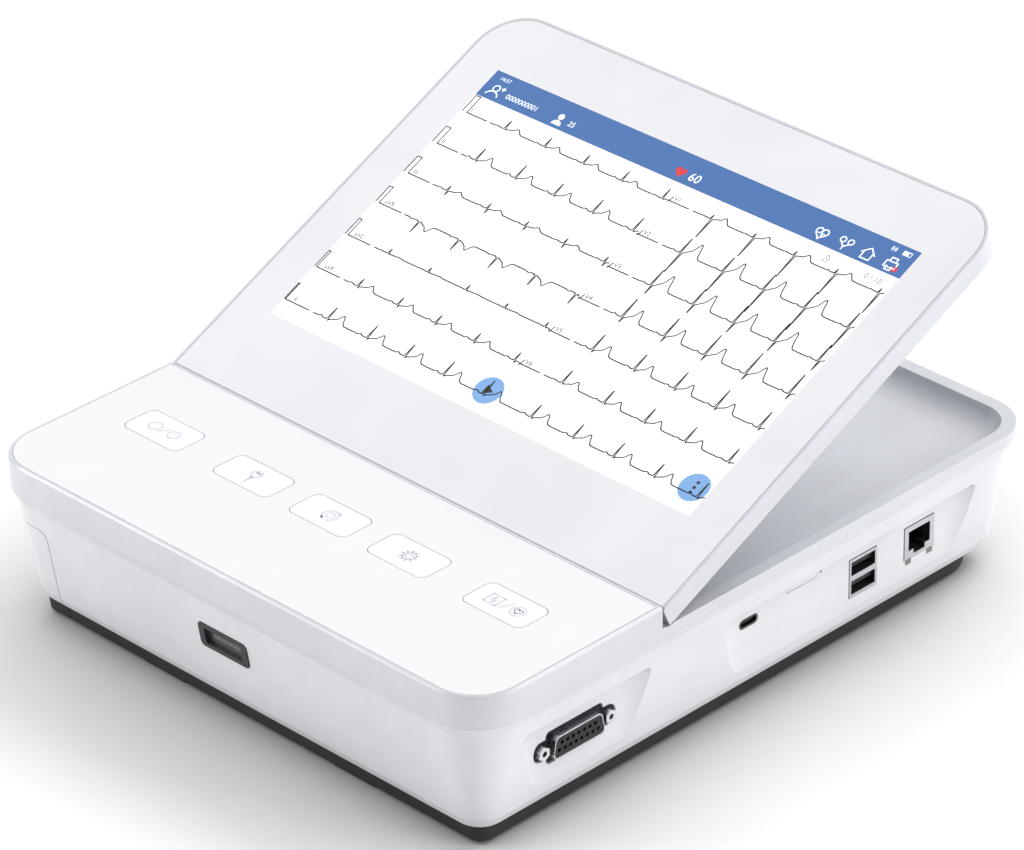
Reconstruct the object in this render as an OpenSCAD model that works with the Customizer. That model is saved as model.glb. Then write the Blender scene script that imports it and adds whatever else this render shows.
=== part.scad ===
// Desktop twelve-lead ECG recorder with a tilting touch display.
// X runs across the machine (+X is the socket side), Y from front to back, Z up.
// The origin is the centre of the footprint on the table plane.
// The display is drawn folded shut and turned up about its hinge to display_tilt.

/* [Body] */
// width across the silver band
body_w = 256; // [250:1:262]
// depth over the silver band
body_d = 294; // [288:1:300]
// height of the key deck above the table
body_h = 69; // [66:1:74]
// corner radius of the band in plan
corner_r = 20; // [16:1:24]
// height of the silver band in front of the hinge
band_h = 13.2; // [11:0.2:16]
// wall thickness of the housings
wall = 2.5; // [2:0.1:3]
// height of the rubber feet
foot_h = 1.8; // [1:0.1:3]

/* [Key deck] */
// distance from the front face to the rear edge of the deck
deck_d = 91.6; // [88:0.2:96]
// distance from the front face to the middle of the keys
key_row = 55; // [50:0.5:60]
// spacing of the three middle keys
key_pitch = 40.6; // [38:0.2:44]
// extra spacing of the two outer keys
key_gap = 7.7; // [0:0.1:12]
// key width
key_w = 29.5; // [26:0.5:32]
// key depth
key_d = 16.3; // [14:0.1:18]
// key travel
key_travel = 0.5; // [0.3:0.1:1]

/* [Display] */
// angle of the display above its folded position
display_tilt = 25; // [0:1:55]
// thickness of the display
display_t = 8.4; // [7:0.2:10]
// gap between the deck and the folded display
display_gap = 1.3; // [1.2:0.1:2]
// width of the visible picture
picture_w = 217; // [215:0.5:219]
// height of the visible picture
picture_h = 135.6; // [134:0.2:137]
// distance from the lower glass edge to the picture
picture_y = 37.3; // [34:0.1:40]

/* [Paper drawer] */
// folded paper width
paper_w = 210; // [205:1:215]
// folded paper length
paper_l = 140; // [130:1:145]
// height of the paper stack
paper_h = 17.8; // [10:0.2:18]
// platen roller radius
platen_r = 6; // [5:0.1:6.4]
// gear module of the paper drive
gear_m = 0.6; // [0.5:0.1:0.6]

/* [Sockets] */
// distance of the lead socket from the front face
lead_y = 55.4; // [53:0.2:58]
// height of the lead socket above the table
lead_z = 30; // [28:0.1:32]
// distance between the two jack screws
jack_pitch = 33.3; // [33.1:0.1:33.5]
// distance of the USB-C port from the front face
usbc_y = 144.8; // [140:0.2:150]
// distance of the card tray from the front face
card_y = 173; // [168:0.5:176]
// distance of the USB-A ports from the front face
usba_y = 206.3; // [200:0.1:212]
// distance of the network port from the front face
lan_y = 237.2; // [230:0.1:242]

/* [Hidden] */
$fn = 96;
eps = 0.01;
slack = 0.3;                       // gap between neighbouring mouldings
run = 0.05;                        // radial clearance of a turning joint
out = 40;                          // reach of a cutting body beyond the housing

function fy(d) = d - body_d / 2;   // distance from the front face to frame Y

// heights of the housing's belt lines
band_z = body_h - band_h;
shoulder_z = body_h - 18;
skirt_z = body_h - 56.8;
skirt_mid_z = body_h - 60;
white_z = body_h - 61.3;
base_z = foot_h;
// inward steps of the wall at those lines
shoulder_in = 2.6;
skirt_in = 9;
skirt_mid_in = 10.4;
white_in = 12;
base_in = 13;
base_front = 17.6;                 // corner centres of the dark base, in from the silver band
base_rear = 33;
wall_lean = atan((skirt_in - shoulder_in) / (shoulder_z - skirt_z));
function wall_in(z) = shoulder_in + (skirt_in - shoulder_in) * (shoulder_z - z) / (shoulder_z - skirt_z);

// folded display and tray
display_z = body_h - display_t;
rim_z = display_z - slack;
rim_w = 5.5;
tray_depth = 7.8;
tray_z = rim_z - tray_depth;
tray_fillet = 9;
tray_floor = 2;
tray_under = tray_z - tray_floor;
display_y = deck_d + display_gap;
display_l = body_d - display_y;
hinge_back = 2.3;                  // hinge axis behind the display's end face
hinge_down = 3.2;                  // hinge axis below the display's face
hinge_y = display_y + hinge_back;
hinge_z = body_h - hinge_down;
hinge_x = 80;
swing_r = norm([hinge_back, display_t - hinge_down]);  // reach of the display's lower rear edge
barrel_r = 2.1;
pin_r = 1.2;
barrel_l = 9;
knuckle_l = 5.7;
knuckle_x = barrel_l / 2 + slack;
hinge_slot_w = barrel_l + 2 * knuckle_l + 1.4;
hinge_slot_d = hinge_back + barrel_r + 0.4;
leaf_screw_y = hinge_y + 5.6;
bracket_screw_y = 101;
glass_t = 0.9;
glass_in = 1.3;
ledge_t = 1.45;
glass_z = body_h - glass_t;
ledge_z = glass_z - ledge_t;
frame_wall = 3.2;
lcd_t = 2.65;
lcd_w = picture_w + 12.5;
lcd_h = picture_h + 13.4;
lcd_y = display_y + picture_y - 3.9;
back_t = 1.6;
bulge = [210, 164, 4.4];
bulge_y = 112;
display_screw_y = [112, 196, 278];
display_screw_x = body_w / 2 - 7;

// key deck
deck_rim = 1.7;
panel_t = 1.5;
deck_t = 2;
panel_z = body_h - panel_t;
deck_z = panel_z - deck_t;
key_mid = -2;
key_r = 3.4;
key_flange = 1.95;
key_flange_z = deck_z - 0.2;
key_flange_t = 1.5;
function key_x(i) = key_mid + i * key_pitch + (abs(i) == 2 ? sign(i) * key_gap : 0);
mat_z = key_flange_z - key_flange_t - key_travel - 0.1;
mat_nub = 1;
mat_t = 1.2;
mat_w = 214;
mat_d = 21;
board_t = 1.6;
keypad_board_z = mat_z - mat_nub - mat_t - board_t;
keypad_screws = [for (x = [-110, -66.5, 62.5, 106], y = [40, 70]) [x, y]];
keypad_board_w = 236;

// drawer
seam_x = body_w / 2 - 26.5;        // the drawer front wraps this far round the corners
seam_z = body_h - 26.5;
seam_r = 4;
slot_y = 42;
slot_h = 1.3;
tear_t = 0.35;
finger_x = -131;                   // finger recess: axis, height, radius and width
finger_z = 25;
finger_r = 12.5;
finger_w = 60;
tray_y = [36, 258];
tray_x = [-111.5, 37.5];
tray_low = 7;
tray_wall = 2;
platen_x = -110;
platen_z = 34.5;
platen_y = [39, 255];
shaft_r = 2.5;
bush_r = 4;
bush_l = 3;
gear_y = 262.5;
gear_w = 4;
plate_y = gear_y + 6;
plate_t = 1.2;
platen_teeth = 24;
idler_teeth = 36;
pinion_teeth = 14;
idler_x = platen_x + gear_m * (platen_teeth + idler_teeth) / 2;
pinion_dir = -35;                  // direction from the idler to the pinion
pinion_c = gear_m * (idler_teeth + pinion_teeth) / 2;
pinion_x = idler_x + pinion_c * cos(pinion_dir);
pinion_z = platen_z + pinion_c * sin(pinion_dir);
post_r = 2;
motor_r = 12.5;
motor_l = 12;
motor_shaft_r = 1;
gear_backlash = 0.1;
gear_steps = 4;
pressure_angle = 20;
gear_add = 0.85;                   // tooth tip and root, in modules from the pitch circle
gear_ded = 1.25;
head_z = platen_z + platen_r + 0.1;
head_t = 1;
head_sink_t = 5;
head_x = [-119, -99];
head_y = [38, 256];

// socket pockets
pocket_x = body_w / 2 - 8.3;
pocket_top = body_h - 24.7;
pocket_r = 20;
pocket_t = 2.2;
pocket_corner = 4;
front_pocket = [38, 77.7];
rear_pocket = [140.3, 251.4];
back_pocket = [22, 92];
back_pocket_y = body_d - 8.3;
usbc_z = body_h - 33.5;
card_z = body_h - 29.5;
usba_z = body_h - 40.1;
lan_z = body_h - 38.6;
usbc_w = 9;
usbc_h = 3.3;
card_w = 16.2;
card_h = 2.4;
usba_w = 14.8;
usba_h = 16.2;
lan_w = 16.2;
lan_h = 13.6;
port_x = pocket_x + 0.2;
flange_t = 0.8;
flange_x = pocket_x - 1.5;
shell_out = 3.2;
dee_w = 25.4;                      // D shell: width, height and wall
dee_h = 9;
dee_wall = 0.4;
contact_pitch = 2.77;
contact_r = 0.8;
row_gap = 2.84;
jack_r = 2.75;
jack_ear_r = 3.6;
jack_hole_r = 1.1;
jack_l = 2.6;
lead_body_w = 25.6;                // narrow enough to pass the rounded opening
inlet_w = 27.2;
inlet_h = 19.8;
inlet_x = 66;
inlet_z = body_h - 37.5;
stud_x = 22;
stud_z = inlet_z;
stud_r = 3;
well_r = 9.5;
well_y = 279.5;
stud_end = body_d - 0.5;
pinhole_y = card_y + 10.3;
pinhole_r = 0.5;

// boards, [x, y, width, depth] from the front face
ecg_board_z = lead_z + 6.5;
main_board_z = usbc_z - 1.65 - board_t;
io_board_z = usba_z - usba_h / 2 - board_t - 0.2;
psu_board_z = 8;
keypad_board = [-keypad_board_w / 2 + key_mid, 37, keypad_board_w, 36];
ecg_board = [56, 22, 56, 72];
main_board = [42, 104, 75, 84];
io_board = [96, 190, 21, 68];
psu_board = [42, 190, 50, 72];
ecg_posts = [[97, 26], [97, 90], [109, 26], [109, 90]];
main_posts = [[46, 108], [46, 184], [97, 184], [110.5, 108]];
io_posts = [[100, 194], [100, 254]];
psu_posts = [[46, 194], [46, 258], [88, 194], [88, 258]];
board_post_r = 2.6;
board_hole_r = 1.05;
board_shank_r = 1;
board_head_r = 2.2;

// base
floor_t = 2;
floor_z = base_z + floor_t;
case_posts = [[-90, 24], [30, 24], [106, 99], [-25, 272], [5, 272], [103, 269]];
case_post_r = 3.5;
case_hole_r = 1.45;
case_shank_r = 1.4;
case_head_r = 2.9;
foot_xy = [[-50, 20], [50, 20], [-50, 273], [50, 273]];
foot_size = [26, 11];
foot_seat = 0.4;
trolley_x = 80;
trolley_y = 150;
trolley_r = 2;
trolley_h = 4.2;
door_box = [50, 34, 42, 135];
door_lip = 3;
door_screws = [[71, 31.5], [71, 171.5]];
battery_box = [52, 36, 38, 131];
cell_r = 9.1;
battery_z = 5;
speaker_box = [52, 175, 35, 12];

// scanner
scan_x = -6.5;
scan_z = body_h - 34;
scan_w = 25.4;
scan_h = 10.8;
scan_glass = [19.4, 7];

// ---------- shared shapes ----------

// rounded rectangle about the origin
module rrect(w, d, r) {
  square([w - 2 * r, d], center = true);
  square([w, d - 2 * r], center = true);
  for (x = [-1, 1], y = [-1, 1]) translate([x * (w / 2 - r), y * (d / 2 - r)]) circle(r);
}

// upright slab with the housing's rounded outline, stepped in by i
module slab(i, z0, z1) {
  translate([0, 0, z0]) linear_extrude(z1 - z0) rrect(body_w - 2 * i, body_d - 2 * i, corner_r - i);
}

// the same outline, stepping in from i0 at z0 to i1 at z1;
// front and rear set how far in the centres of the corner cones stand
module flare(i0, i1, z0, z1, front = corner_r, rear = corner_r) {
  hx = body_w / 2;
  hy = body_d / 2;
  inner = [[-1, front], [1, rear]];
  for (x = [-1, 1], c = inner) translate([x * (hx - c[1]), c[0] * (hy - c[1]), z0])
    cylinder(h = z1 - z0, r1 = c[1] - i0, r2 = c[1] - i1);
  translate([0, hy - rear, 0]) rotate([90, 0, 0]) linear_extrude(2 * hy - front - rear)
    polygon([[i0 - hx, z0], [hx - i0, z0], [hx - i1, z1], [i1 - hx, z1]]);
  for (c = inner) rotate([90, 0, 90]) linear_extrude(2 * (hx - c[1]), center = true)
    polygon([[0, z0], [c[0] * (hy - i0), z0], [c[0] * (hy - i1), z1], [0, z1]]);
}

// outside and inside of the dark base: tight front corners, wide rear ones
module base_outside() flare(base_in, white_in + 0.2, base_z, white_z, base_front, base_rear);
module base_inside() flare(base_in + wall, white_in + wall, floor_z, white_z + eps, base_front, base_rear);

// box from the front-face coordinates of its corner
module block(x, y, z, w, d, h) {
  translate([x, fy(y), z]) cube([w, d, h]);
}

// upright and lying cylinders from front-face coordinates
module upright(x, y, z, r, h) {
  translate([x, fy(y), z]) cylinder(h = h, r = r);
}
module along_y(x, y, z, r, h) {
  translate([x, fy(y), z]) rotate([-90, 0, 0]) cylinder(h = h, r = r);
}
module along_x(x, y, z, r, h) {
  translate([x, fy(y), z]) rotate([0, 90, 0]) cylinder(h = h, r = r);
}

// rounded plate standing in the socket side, normal along X
module side_plate(x, y, z, w, h, r, t) {
  translate([x, fy(y), z]) rotate([90, 0, 90]) linear_extrude(t) rrect(w, h, r);
}

module place_display() {
  translate([0, fy(hinge_y), hinge_z]) rotate([display_tilt, 0, 0])
    translate([0, -fy(hinge_y), -hinge_z]) children();
}

// outside of the white housing
module white_outside() {
  flare(white_in, skirt_mid_in, white_z, skirt_mid_z);
  flare(skirt_mid_in, skirt_in, skirt_mid_z, skirt_z);
  flare(skirt_in, shoulder_in, skirt_z, shoulder_z);
  flare(shoulder_in, 0, shoulder_z, band_z);
}

module white_inside() {
  flare(white_in + wall, skirt_in + wall, white_z - eps, skirt_z);
  flare(skirt_in + wall, shoulder_in + wall, skirt_z, shoulder_z);
  flare(shoulder_in + wall, wall, shoulder_z, band_z + eps);
}

// outline of the drawer front seen from the front, grown by g
module drawer_zone(g) {
  x1 = -seam_x + g;
  z1 = seam_z + g;
  rotate([90, 0, 0]) linear_extrude(body_d + out, center = true) {
    translate([-body_w / 2 - out, -out]) square([body_w / 2 + out + x1 - seam_r, z1 + out]);
    translate([-body_w / 2 - out, -out]) square([body_w / 2 + out + x1, z1 + out - seam_r]);
    translate([x1 - seam_r, z1 - seam_r]) circle(seam_r);
  }
}

// scooped pocket with an upright floor; e grows it, span is its flat floor along Y
module pocket(span, e) {
  depth = body_w / 2 - wall_in(pocket_top) - pocket_x;
  reach = pocket_r * sin(acos(1 - depth / pocket_r)) + e;
  intersection() {
    translate([0, 0, -out]) linear_extrude(pocket_top + out + e) {
      translate([pocket_x - e, fy(span[0])]) square([out, span[1] - span[0]]);
      for (y = span) translate([pocket_x + pocket_r, fy(y)]) circle(pocket_r + e);
    }
    translate([pocket_x - out / 2, fy((span[0] + span[1]) / 2), e]) rotate([90, 0, 90])
      linear_extrude(out) rrect(span[1] - span[0] + 2 * reach, 2 * pocket_top, pocket_corner + e);
  }
}
module back_scoop(e) {
  translate([0, 0, -out]) linear_extrude(pocket_top + out + e) {
    translate([back_pocket[0], fy(back_pocket_y) - e])
      square([back_pocket[1] - back_pocket[0], out]);
    for (x = back_pocket) translate([x, fy(back_pocket_y) + pocket_r]) circle(pocket_r + e);
  }
}

// finger recess of the drawer
module finger(e) {
  along_y(finger_x, (body_d - finger_w) / 2 - e, finger_z, finger_r + e, finger_w + 2 * e);
}

// board with holes at its posts
module board(box, z, posts) {
  difference() {
    block(box[0], box[1], z, box[2], box[3], board_t);
    for (p = posts) upright(p[0], p[1], z - 1, board_hole_r + 0.1, board_t + 2);
  }
}

module board_screw(p, z) {
  upright(p[0], p[1], z - 5, board_shank_r, 6);
  upright(p[0], p[1], z, board_head_r, 1.4);
}

// involute spur gear about Z with a tooth on +X
function involute(rb, t) = rb * [cos(t) + t * PI / 180 * sin(t), sin(t) - t * PI / 180 * cos(t)];
function roll_at(rb, r) = r <= rb ? 0 : sqrt(r * r / (rb * rb) - 1) * 180 / PI;
function flank(n, rb, ra, s) = let (rp = gear_m * n / 2, t0 = roll_at(rb, rp),
  p = involute(rb, t0), half = 90 / n - gear_backlash / rp * 90 / PI, shift = -atan2(p[1], p[0]) - half)
  [for (k = [0:s]) let (t = roll_at(rb, ra) * k / s, q = involute(rb, t), a = atan2(q[1], q[0]) + shift)
    norm(q) * [cos(a), sin(a)]];
module gear(n, bore, w) {
  rp = gear_m * n / 2;
  rb = rp * cos(pressure_angle);
  ra = rp + gear_add * gear_m;
  rf = rp - gear_ded * gear_m;
  f = flank(n, rb, ra, gear_steps);
  a0 = atan2(f[0][1], f[0][0]);
  tooth = concat([rf * [cos(a0), sin(a0)]], f,
    [for (k = [gear_steps:-1:0]) [f[k][0], -f[k][1]]], [rf * [cos(a0), -sin(a0)]]);
  outline = [for (i = [0:n - 1]) for (p = tooth) let (c = cos(360 * i / n), s = sin(360 * i / n))
    [c * p[0] - s * p[1], s * p[0] + c * p[1]]];
  difference() {
    linear_extrude(w) polygon(outline);
    translate([0, 0, -1]) cylinder(h = w + 2, r = bore);
  }
}
module place_gear(x, z, y, turn) {
  translate([x, fy(y), z]) rotate([90, 0, 0]) rotate(turn) translate([0, 0, -gear_w]) children();
}

// ---------- housing ----------

module top_case() color("gainsboro") {
  difference() {
    union() {
      difference() {
        union() {
          slab(0, band_z, body_h - 0.8);
          flare(0, 0.8, body_h - 0.8, body_h);
        }
        // lower rim behind the deck, relieved under the display's turning edge
        block(-body_w / 2 - 1, deck_d, rim_z, body_w + 2, body_d, out);
        intersection() {
          along_x(-body_w / 2 - 1, hinge_y, hinge_z, swing_r + slack, body_w + 2);
          block(-body_w / 2 - 1, deck_d, 0, body_w + 2, body_d, body_h);
        }
        // hollow under the deck
        intersection() {
          slab(wall, band_z - 1, deck_z);
          block(-body_w / 2, 0, 0, body_w, deck_d - wall, body_h);
        }
      }
      tray_shell(tray_floor);
      for (p = case_posts)
        upright(p[0], p[1], floor_z + slack, case_post_r,
          (p[1] < deck_d ? deck_z : tray_under) - floor_z);
      for (p = keypad_screws)
        upright(p[0], p[1], keypad_board_z + board_t, board_post_r, deck_z - keypad_board_z - board_t + 1);
      for (s = [-1, 1], x = [-5, 5]) upright(s * hinge_x + x, bracket_screw_y, tray_under - 4, 2.6, 5);
    }
    tray_shell(0);
    // seat of the glossy panel
    intersection() {
      slab(deck_rim, panel_z, body_h + 1);
      block(-body_w / 2, 0, 0, body_w, deck_d - 1.2, body_h + 5);
    }
    for (i = [-2:2]) translate([key_x(i), fy(key_row), deck_z - 1])
      linear_extrude(deck_t + 2) rrect(key_w + 1.5, key_d + 1.5, key_r + 0.75);
    for (p = case_posts) upright(p[0], p[1], 0, case_hole_r, 14);
    for (p = keypad_screws) upright(p[0], p[1], keypad_board_z, board_hole_r, 6);
    for (s = [-1, 1], x = [-5, 5])
      upright(s * hinge_x + x, bracket_screw_y, tray_under - 3, board_hole_r, 8);
  }
}

// bowl behind the deck, grown by e
module tray_shell(e) {
  f = tray_fillet + e;
  hx = body_w / 2 - rim_w + e;
  y1 = fy(body_d - rim_w) + e;
  y0 = fy(deck_d) - (e > 0 ? wall : 0);
  r = corner_r - rim_w + e;
  z = tray_z - e;
  h = rim_z - tray_z + (e > 0 ? e - 1 : 4);
  translate([0, 0, z]) {
    for (s = [-1, 1]) translate([s * (hx - r), y1 - r, 0]) rotate_extrude() intersection() {
      square([r, h]);
      union() {
        square([r - f, h]);
        translate([0, f]) square([r, h]);
        translate([r - f, f]) circle(f);
      }
    }
    translate([0, y1 - r, 0]) rotate([90, 0, 0]) linear_extrude(y1 - r - y0)
      bowl_section(2 * hx, f, h);
    intersection() {
      rotate([90, 0, 90]) linear_extrude(2 * (hx - r), center = true)
        translate([y1 - hx, 0]) bowl_section(2 * hx, f, h);
      translate([-hx, y0, -1]) cube([2 * hx, body_d, h + 2]);
    }
  }
}

module bowl_section(w, f, h) intersection() {
  translate([-w / 2, 0]) square([w, h]);
  union() {
    translate([-w / 2 + f, 0]) square([w - 2 * f, h]);
    translate([-w / 2, f]) square([w, h]);
    for (s = [-1, 1]) translate([s * (w / 2 - f), f]) circle(f);
  }
}

module keypad_panel() color("white") {
  difference() {
    intersection() {
      slab(deck_rim + 0.15, panel_z, body_h);
      block(-body_w / 2, 0, 0, body_w, deck_d - 1.35, body_h + 1);
    }
    for (i = [-2:2]) translate([key_x(i), fy(key_row), panel_z - 1])
      linear_extrude(panel_t + 2) rrect(key_w + 0.5, key_d + 0.5, key_r + 0.25);
  }
}

module lower_case() color("whitesmoke") {
  difference() {
    union() {
      difference() {
        white_outside();
        white_inside();
      }
      intersection() {
        union() {
          pocket(front_pocket, pocket_t);
          pocket(rear_pocket, pocket_t);
          back_scoop(pocket_t);
          along_y(stud_x, well_y - 2, stud_z, well_r + 1.6, out);
        }
        white_outside();
      }
    }
    drawer_zone(slack);
    pocket(front_pocket, 0);
    pocket(rear_pocket, 0);
    back_scoop(0);
    // paper slot over the drawer front
    block(-body_w / 2 - 1, slot_y, seam_z, 20, paper_w, slot_h);
    // socket openings
    lead_plate(pocket_x - out / 2, 0.5, out);
    side_plate(pocket_x - out / 2, usbc_y, usbc_z, usbc_w + 0.9, usbc_h + 0.8, usbc_h / 2 + 0.35, out);
    side_plate(pocket_x - out / 2, card_y, card_z, card_w + 0.4, card_h + 0.4, card_h / 2, out);
    side_plate(pocket_x - out / 2, usba_y, usba_z, usba_w + 2 * slack, usba_h + 2 * slack, 0.3, out);
    side_plate(pocket_x - out / 2, lan_y, lan_z, lan_w + 2 * slack, lan_h + 2 * slack, 0.3, out);
    along_x(pocket_x - 8, pinhole_y, card_z, pinhole_r, out);
    // mains inlet, earth stud and scanner
    translate([inlet_x, fy(260), inlet_z]) rotate([-90, 0, 0]) linear_extrude(out)
      rrect(inlet_w + 2 * slack, inlet_h + 2 * slack, 2);
    along_y(stud_x, well_y, stud_z, well_r, out);
    along_y(stud_x, well_y - 5, stud_z, stud_r - 0.5 + slack, out);
    scan_place() translate([0, 0, -5]) linear_extrude(12) rrect(scan_w + 0.3, scan_h + 0.3, 2.15);
  }
}

module scan_place() {
  translate([scan_x, fy(wall_in(scan_z)), scan_z]) rotate([90 + wall_lean, 0, 0]) children();
}

module base_plate() color("dimgray") {
  difference() {
    union() {
      difference() {
        base_outside();
        difference() {
          base_inside();
          // battery bay
          block(door_box[0] - 1, door_box[1] - 1, floor_z, 2 + door_box[2], 2 + door_box[3], 4);
        }
        drawer_zone(slack);
      }
      // drawer guides
      for (s = [0, 1]) {
        y = tray_y[s] + (s == 0 ? -2 - slack : slack);
        block(-100, y, floor_z - eps, 140, 2, 29);
        block(-100, y - (s == 0 ? 0 : 2), 30.8, 140, 4, 2);
      }
      board_posts(ecg_posts, ecg_board_z);
      board_posts(main_posts, main_board_z);
      board_posts(io_posts, io_board_z);
      board_posts(psu_posts, psu_board_z);
      for (x = [-1, 1], y = [-1, 1])
        translate([x * trolley_x / 2, y * trolley_y / 2, base_z]) cylinder(h = trolley_h, r = 4.2);
      for (p = door_screws) upright(p[0], p[1], base_z, 3, 6);
      block(-98, plate_y + 1.5, floor_z - eps, 36, 10, 2);
    }
    // battery opening with the door's seat
    block(door_box[0] + door_lip, door_box[1] + door_lip, 0,
      door_box[2] - 2 * door_lip, door_box[3] - 2 * door_lip, 20);
    block(door_box[0], door_box[1], base_z - 1, door_box[2], door_box[3], floor_t + 1 + slack);
    block(battery_box[0] - slack, battery_box[1] - slack, floor_z + 0.9,
      battery_box[2] + 2 * slack, battery_box[3] + 2 * slack, 20);
    for (p = case_posts) {
      upright(p[0], p[1], 0, case_hole_r + 0.25, 6);
      upright(p[0], p[1], 0, case_head_r + 0.2, base_z + 1);
    }
    for (p = foot_xy) translate([p[0], fy(p[1]), 0])
      linear_extrude(base_z + foot_seat) rrect(foot_size[0] + 0.2, foot_size[1] + 0.2, 3.1);
    for (x = [-1, 1], y = [-1, 1])
      translate([x * trolley_x / 2, y * trolley_y / 2, -1]) cylinder(h = trolley_h + 10, r = trolley_r);
    for (p = door_screws) upright(p[0], p[1], 0, board_hole_r, 8);
    for (p = door_screws) block(p[0] - 5, p[1] - 3.4, 0, 10, 6.8, base_z + 1.2);
    // speaker grille and vents
    for (x = [56:4:84]) block(x, 176, 0, 1.6, 9, 10);
    for (x = [48:5:84]) block(x, 204, 0, 2, 40, 5);
  }
}

module board_posts(posts, z) {
  for (p = posts) difference() {
    upright(p[0], p[1], floor_z - eps, board_post_r, z - floor_z + eps);
    upright(p[0], p[1], z - 5.4, board_hole_r, 6);
  }
}

module battery_door() color("dimgray") {
  difference() {
    union() {
      block(door_box[0] + 0.2, door_box[1] + 0.2, base_z, door_box[2] - 0.4, door_box[3] - 0.4, floor_t);
      for (p = door_screws) upright(p[0], p[1], base_z, 3, 1);
      for (s = [0, 1]) block(66.2, s == 0 ? 31.5 : 165, base_z, 9.6, 6.5, 1);
    }
    for (p = door_screws) upright(p[0], p[1], 0, board_hole_r + 0.2, 5);
  }
}

module rubber_feet() color("black") {
  for (p = foot_xy) translate([p[0], fy(p[1]), 0])
    linear_extrude(foot_h + foot_seat) rrect(foot_size[0], foot_size[1], 3);
}

module case_screws() color("silver") {
  for (p = case_posts) {
    upright(p[0], p[1], base_z - 0.6, case_head_r, 1.5);
    upright(p[0], p[1], base_z, case_shank_r, 10);
  }
  for (p = door_screws) {
    upright(p[0], p[1], base_z, board_shank_r, 5);
    upright(p[0], p[1], base_z - 1, board_head_r, 1);
  }
}

// ---------- keys ----------

module key(i) color("white") {
  translate([key_x(i), fy(key_row), 0]) {
    translate([0, 0, key_flange_z - key_flange_t]) linear_extrude(key_flange_t)
      rrect(key_w + 2 * key_flange, key_d + 2 * key_flange, key_r + 1);
    translate([0, 0, key_flange_z - eps]) linear_extrude(body_h - key_flange_z + eps)
      rrect(key_w, key_d, key_r);
  }
}
module key_power() key(-2);
module key_leads() key(-1);
module key_repeat() key(0);
module key_setup() key(1);
module key_record() key(2);

module keypad_mat() color("lightgray") {
  z = keypad_board_z + board_t;
  block(key_mid - mat_w / 2, key_row - mat_d / 2, z, mat_w, mat_d, mat_t);
  for (i = [-2:2]) upright(key_x(i), key_row, z + mat_t - eps, 4, mat_nub);
}

module keypad_board() color("green") {
  board(keypad_board, keypad_board_z, keypad_screws);
}

// ---------- display ----------

// outline of the display, stepped in by i, square at the hinge end
module display_outline(i) {
  intersection() {
    rrect(body_w - 2 * i, body_d - 2 * i, corner_r - i);
    translate([-body_w / 2, fy(display_y) + i]) square([body_w, body_d]);
  }
}

module display_frame() color("gainsboro") place_display() difference() {
  union() {
    difference() {
      translate([0, 0, display_z]) linear_extrude(display_t) display_outline(0);
      translate([0, 0, display_z - 1]) linear_extrude(ledge_z - display_z + 1) display_outline(frame_wall);
      translate([0, 0, ledge_z - 1]) linear_extrude(5)
        translate([0, fy(display_y + display_l / 2)]) rrect(body_w - 20, display_l - 22, 8);
      translate([0, 0, glass_z - 0.05]) linear_extrude(5) display_outline(glass_in - 0.15);
    }
    for (x = [-1, 1], y = display_screw_y)
      upright(x * display_screw_x, y, display_z + back_t, 2.8, ledge_z - display_z - back_t + eps);
    for (s = [-1, 1], x = [-8, 8])
      upright(s * hinge_x + x, leaf_screw_y, hinge_z - 0.8, 2.4, ledge_z - hinge_z + 0.8 + eps);
  }
  for (x = [-1, 1], y = display_screw_y) upright(x * display_screw_x, y, display_z, board_hole_r, 6);
  for (s = [-1, 1], x = [-8, 8]) upright(s * hinge_x + x, leaf_screw_y, display_z, board_hole_r, 6.6);
  // room for the hinges in the end wall
  for (s = [-1, 1]) block(s * hinge_x - hinge_slot_w / 2, display_y - 1, display_z - 1,
    hinge_slot_w, hinge_slot_d + 1, glass_z - 0.05 - display_z + 1);
  // chamfered lower edge
  translate([0, fy(display_y), body_h]) rotate([90, 0, 90])
    linear_extrude(body_w + 2, center = true) polygon([[-1, 1], [-1, -2], [0, -1], [2, 1]]);
}

module display_glass() color("white") place_display()
  translate([0, 0, glass_z]) linear_extrude(glass_t) display_outline(glass_in);

module lcd_panel() color("silver") place_display()
  block(-lcd_w / 2, lcd_y, glass_z - lcd_t, lcd_w, lcd_h, lcd_t);

module display_back() color("whitesmoke") place_display() difference() {
  union() {
    translate([0, 0, display_z]) linear_extrude(back_t) display_outline(frame_wall + 0.2);
    translate([0, fy(bulge_y) + bulge[1] / 2, display_z - bulge[2]])
      linear_extrude(bulge[2] + eps) rrect(bulge[0], bulge[1], 14);
  }
  translate([0, fy(bulge_y) + bulge[1] / 2, display_z - bulge[2] + back_t])
    linear_extrude(bulge[2] + 1) rrect(bulge[0] - 2 * back_t, bulge[1] - 2 * back_t, 14 - back_t);
  for (x = [-1, 1], y = display_screw_y) {
    upright(x * display_screw_x, y, display_z - 1, board_shank_r + 0.2, 5);
    upright(x * display_screw_x, y, display_z - 1, board_head_r + 0.2, 1.9);
  }
  for (s = [-1, 1]) block(s * hinge_x - hinge_slot_w / 2 - 0.3, display_y, display_z - 1,
    hinge_slot_w + 0.6, 14, 5);
}

module display_board() color("green") place_display() {
  seat = display_z - bulge[2] + back_t;
  foot = 0.8;
  z = seat + foot;
  block(-65, 150, z, 130, 52, board_t);
  block(-50, 156, z + board_t, 24, 18, 1.4);
  block(10, 160, z + board_t, 40, 8, 2.4);
  for (x = [-60, 60], y = [154, 198]) upright(x, y, seat, 2.5, foot);
}

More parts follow.
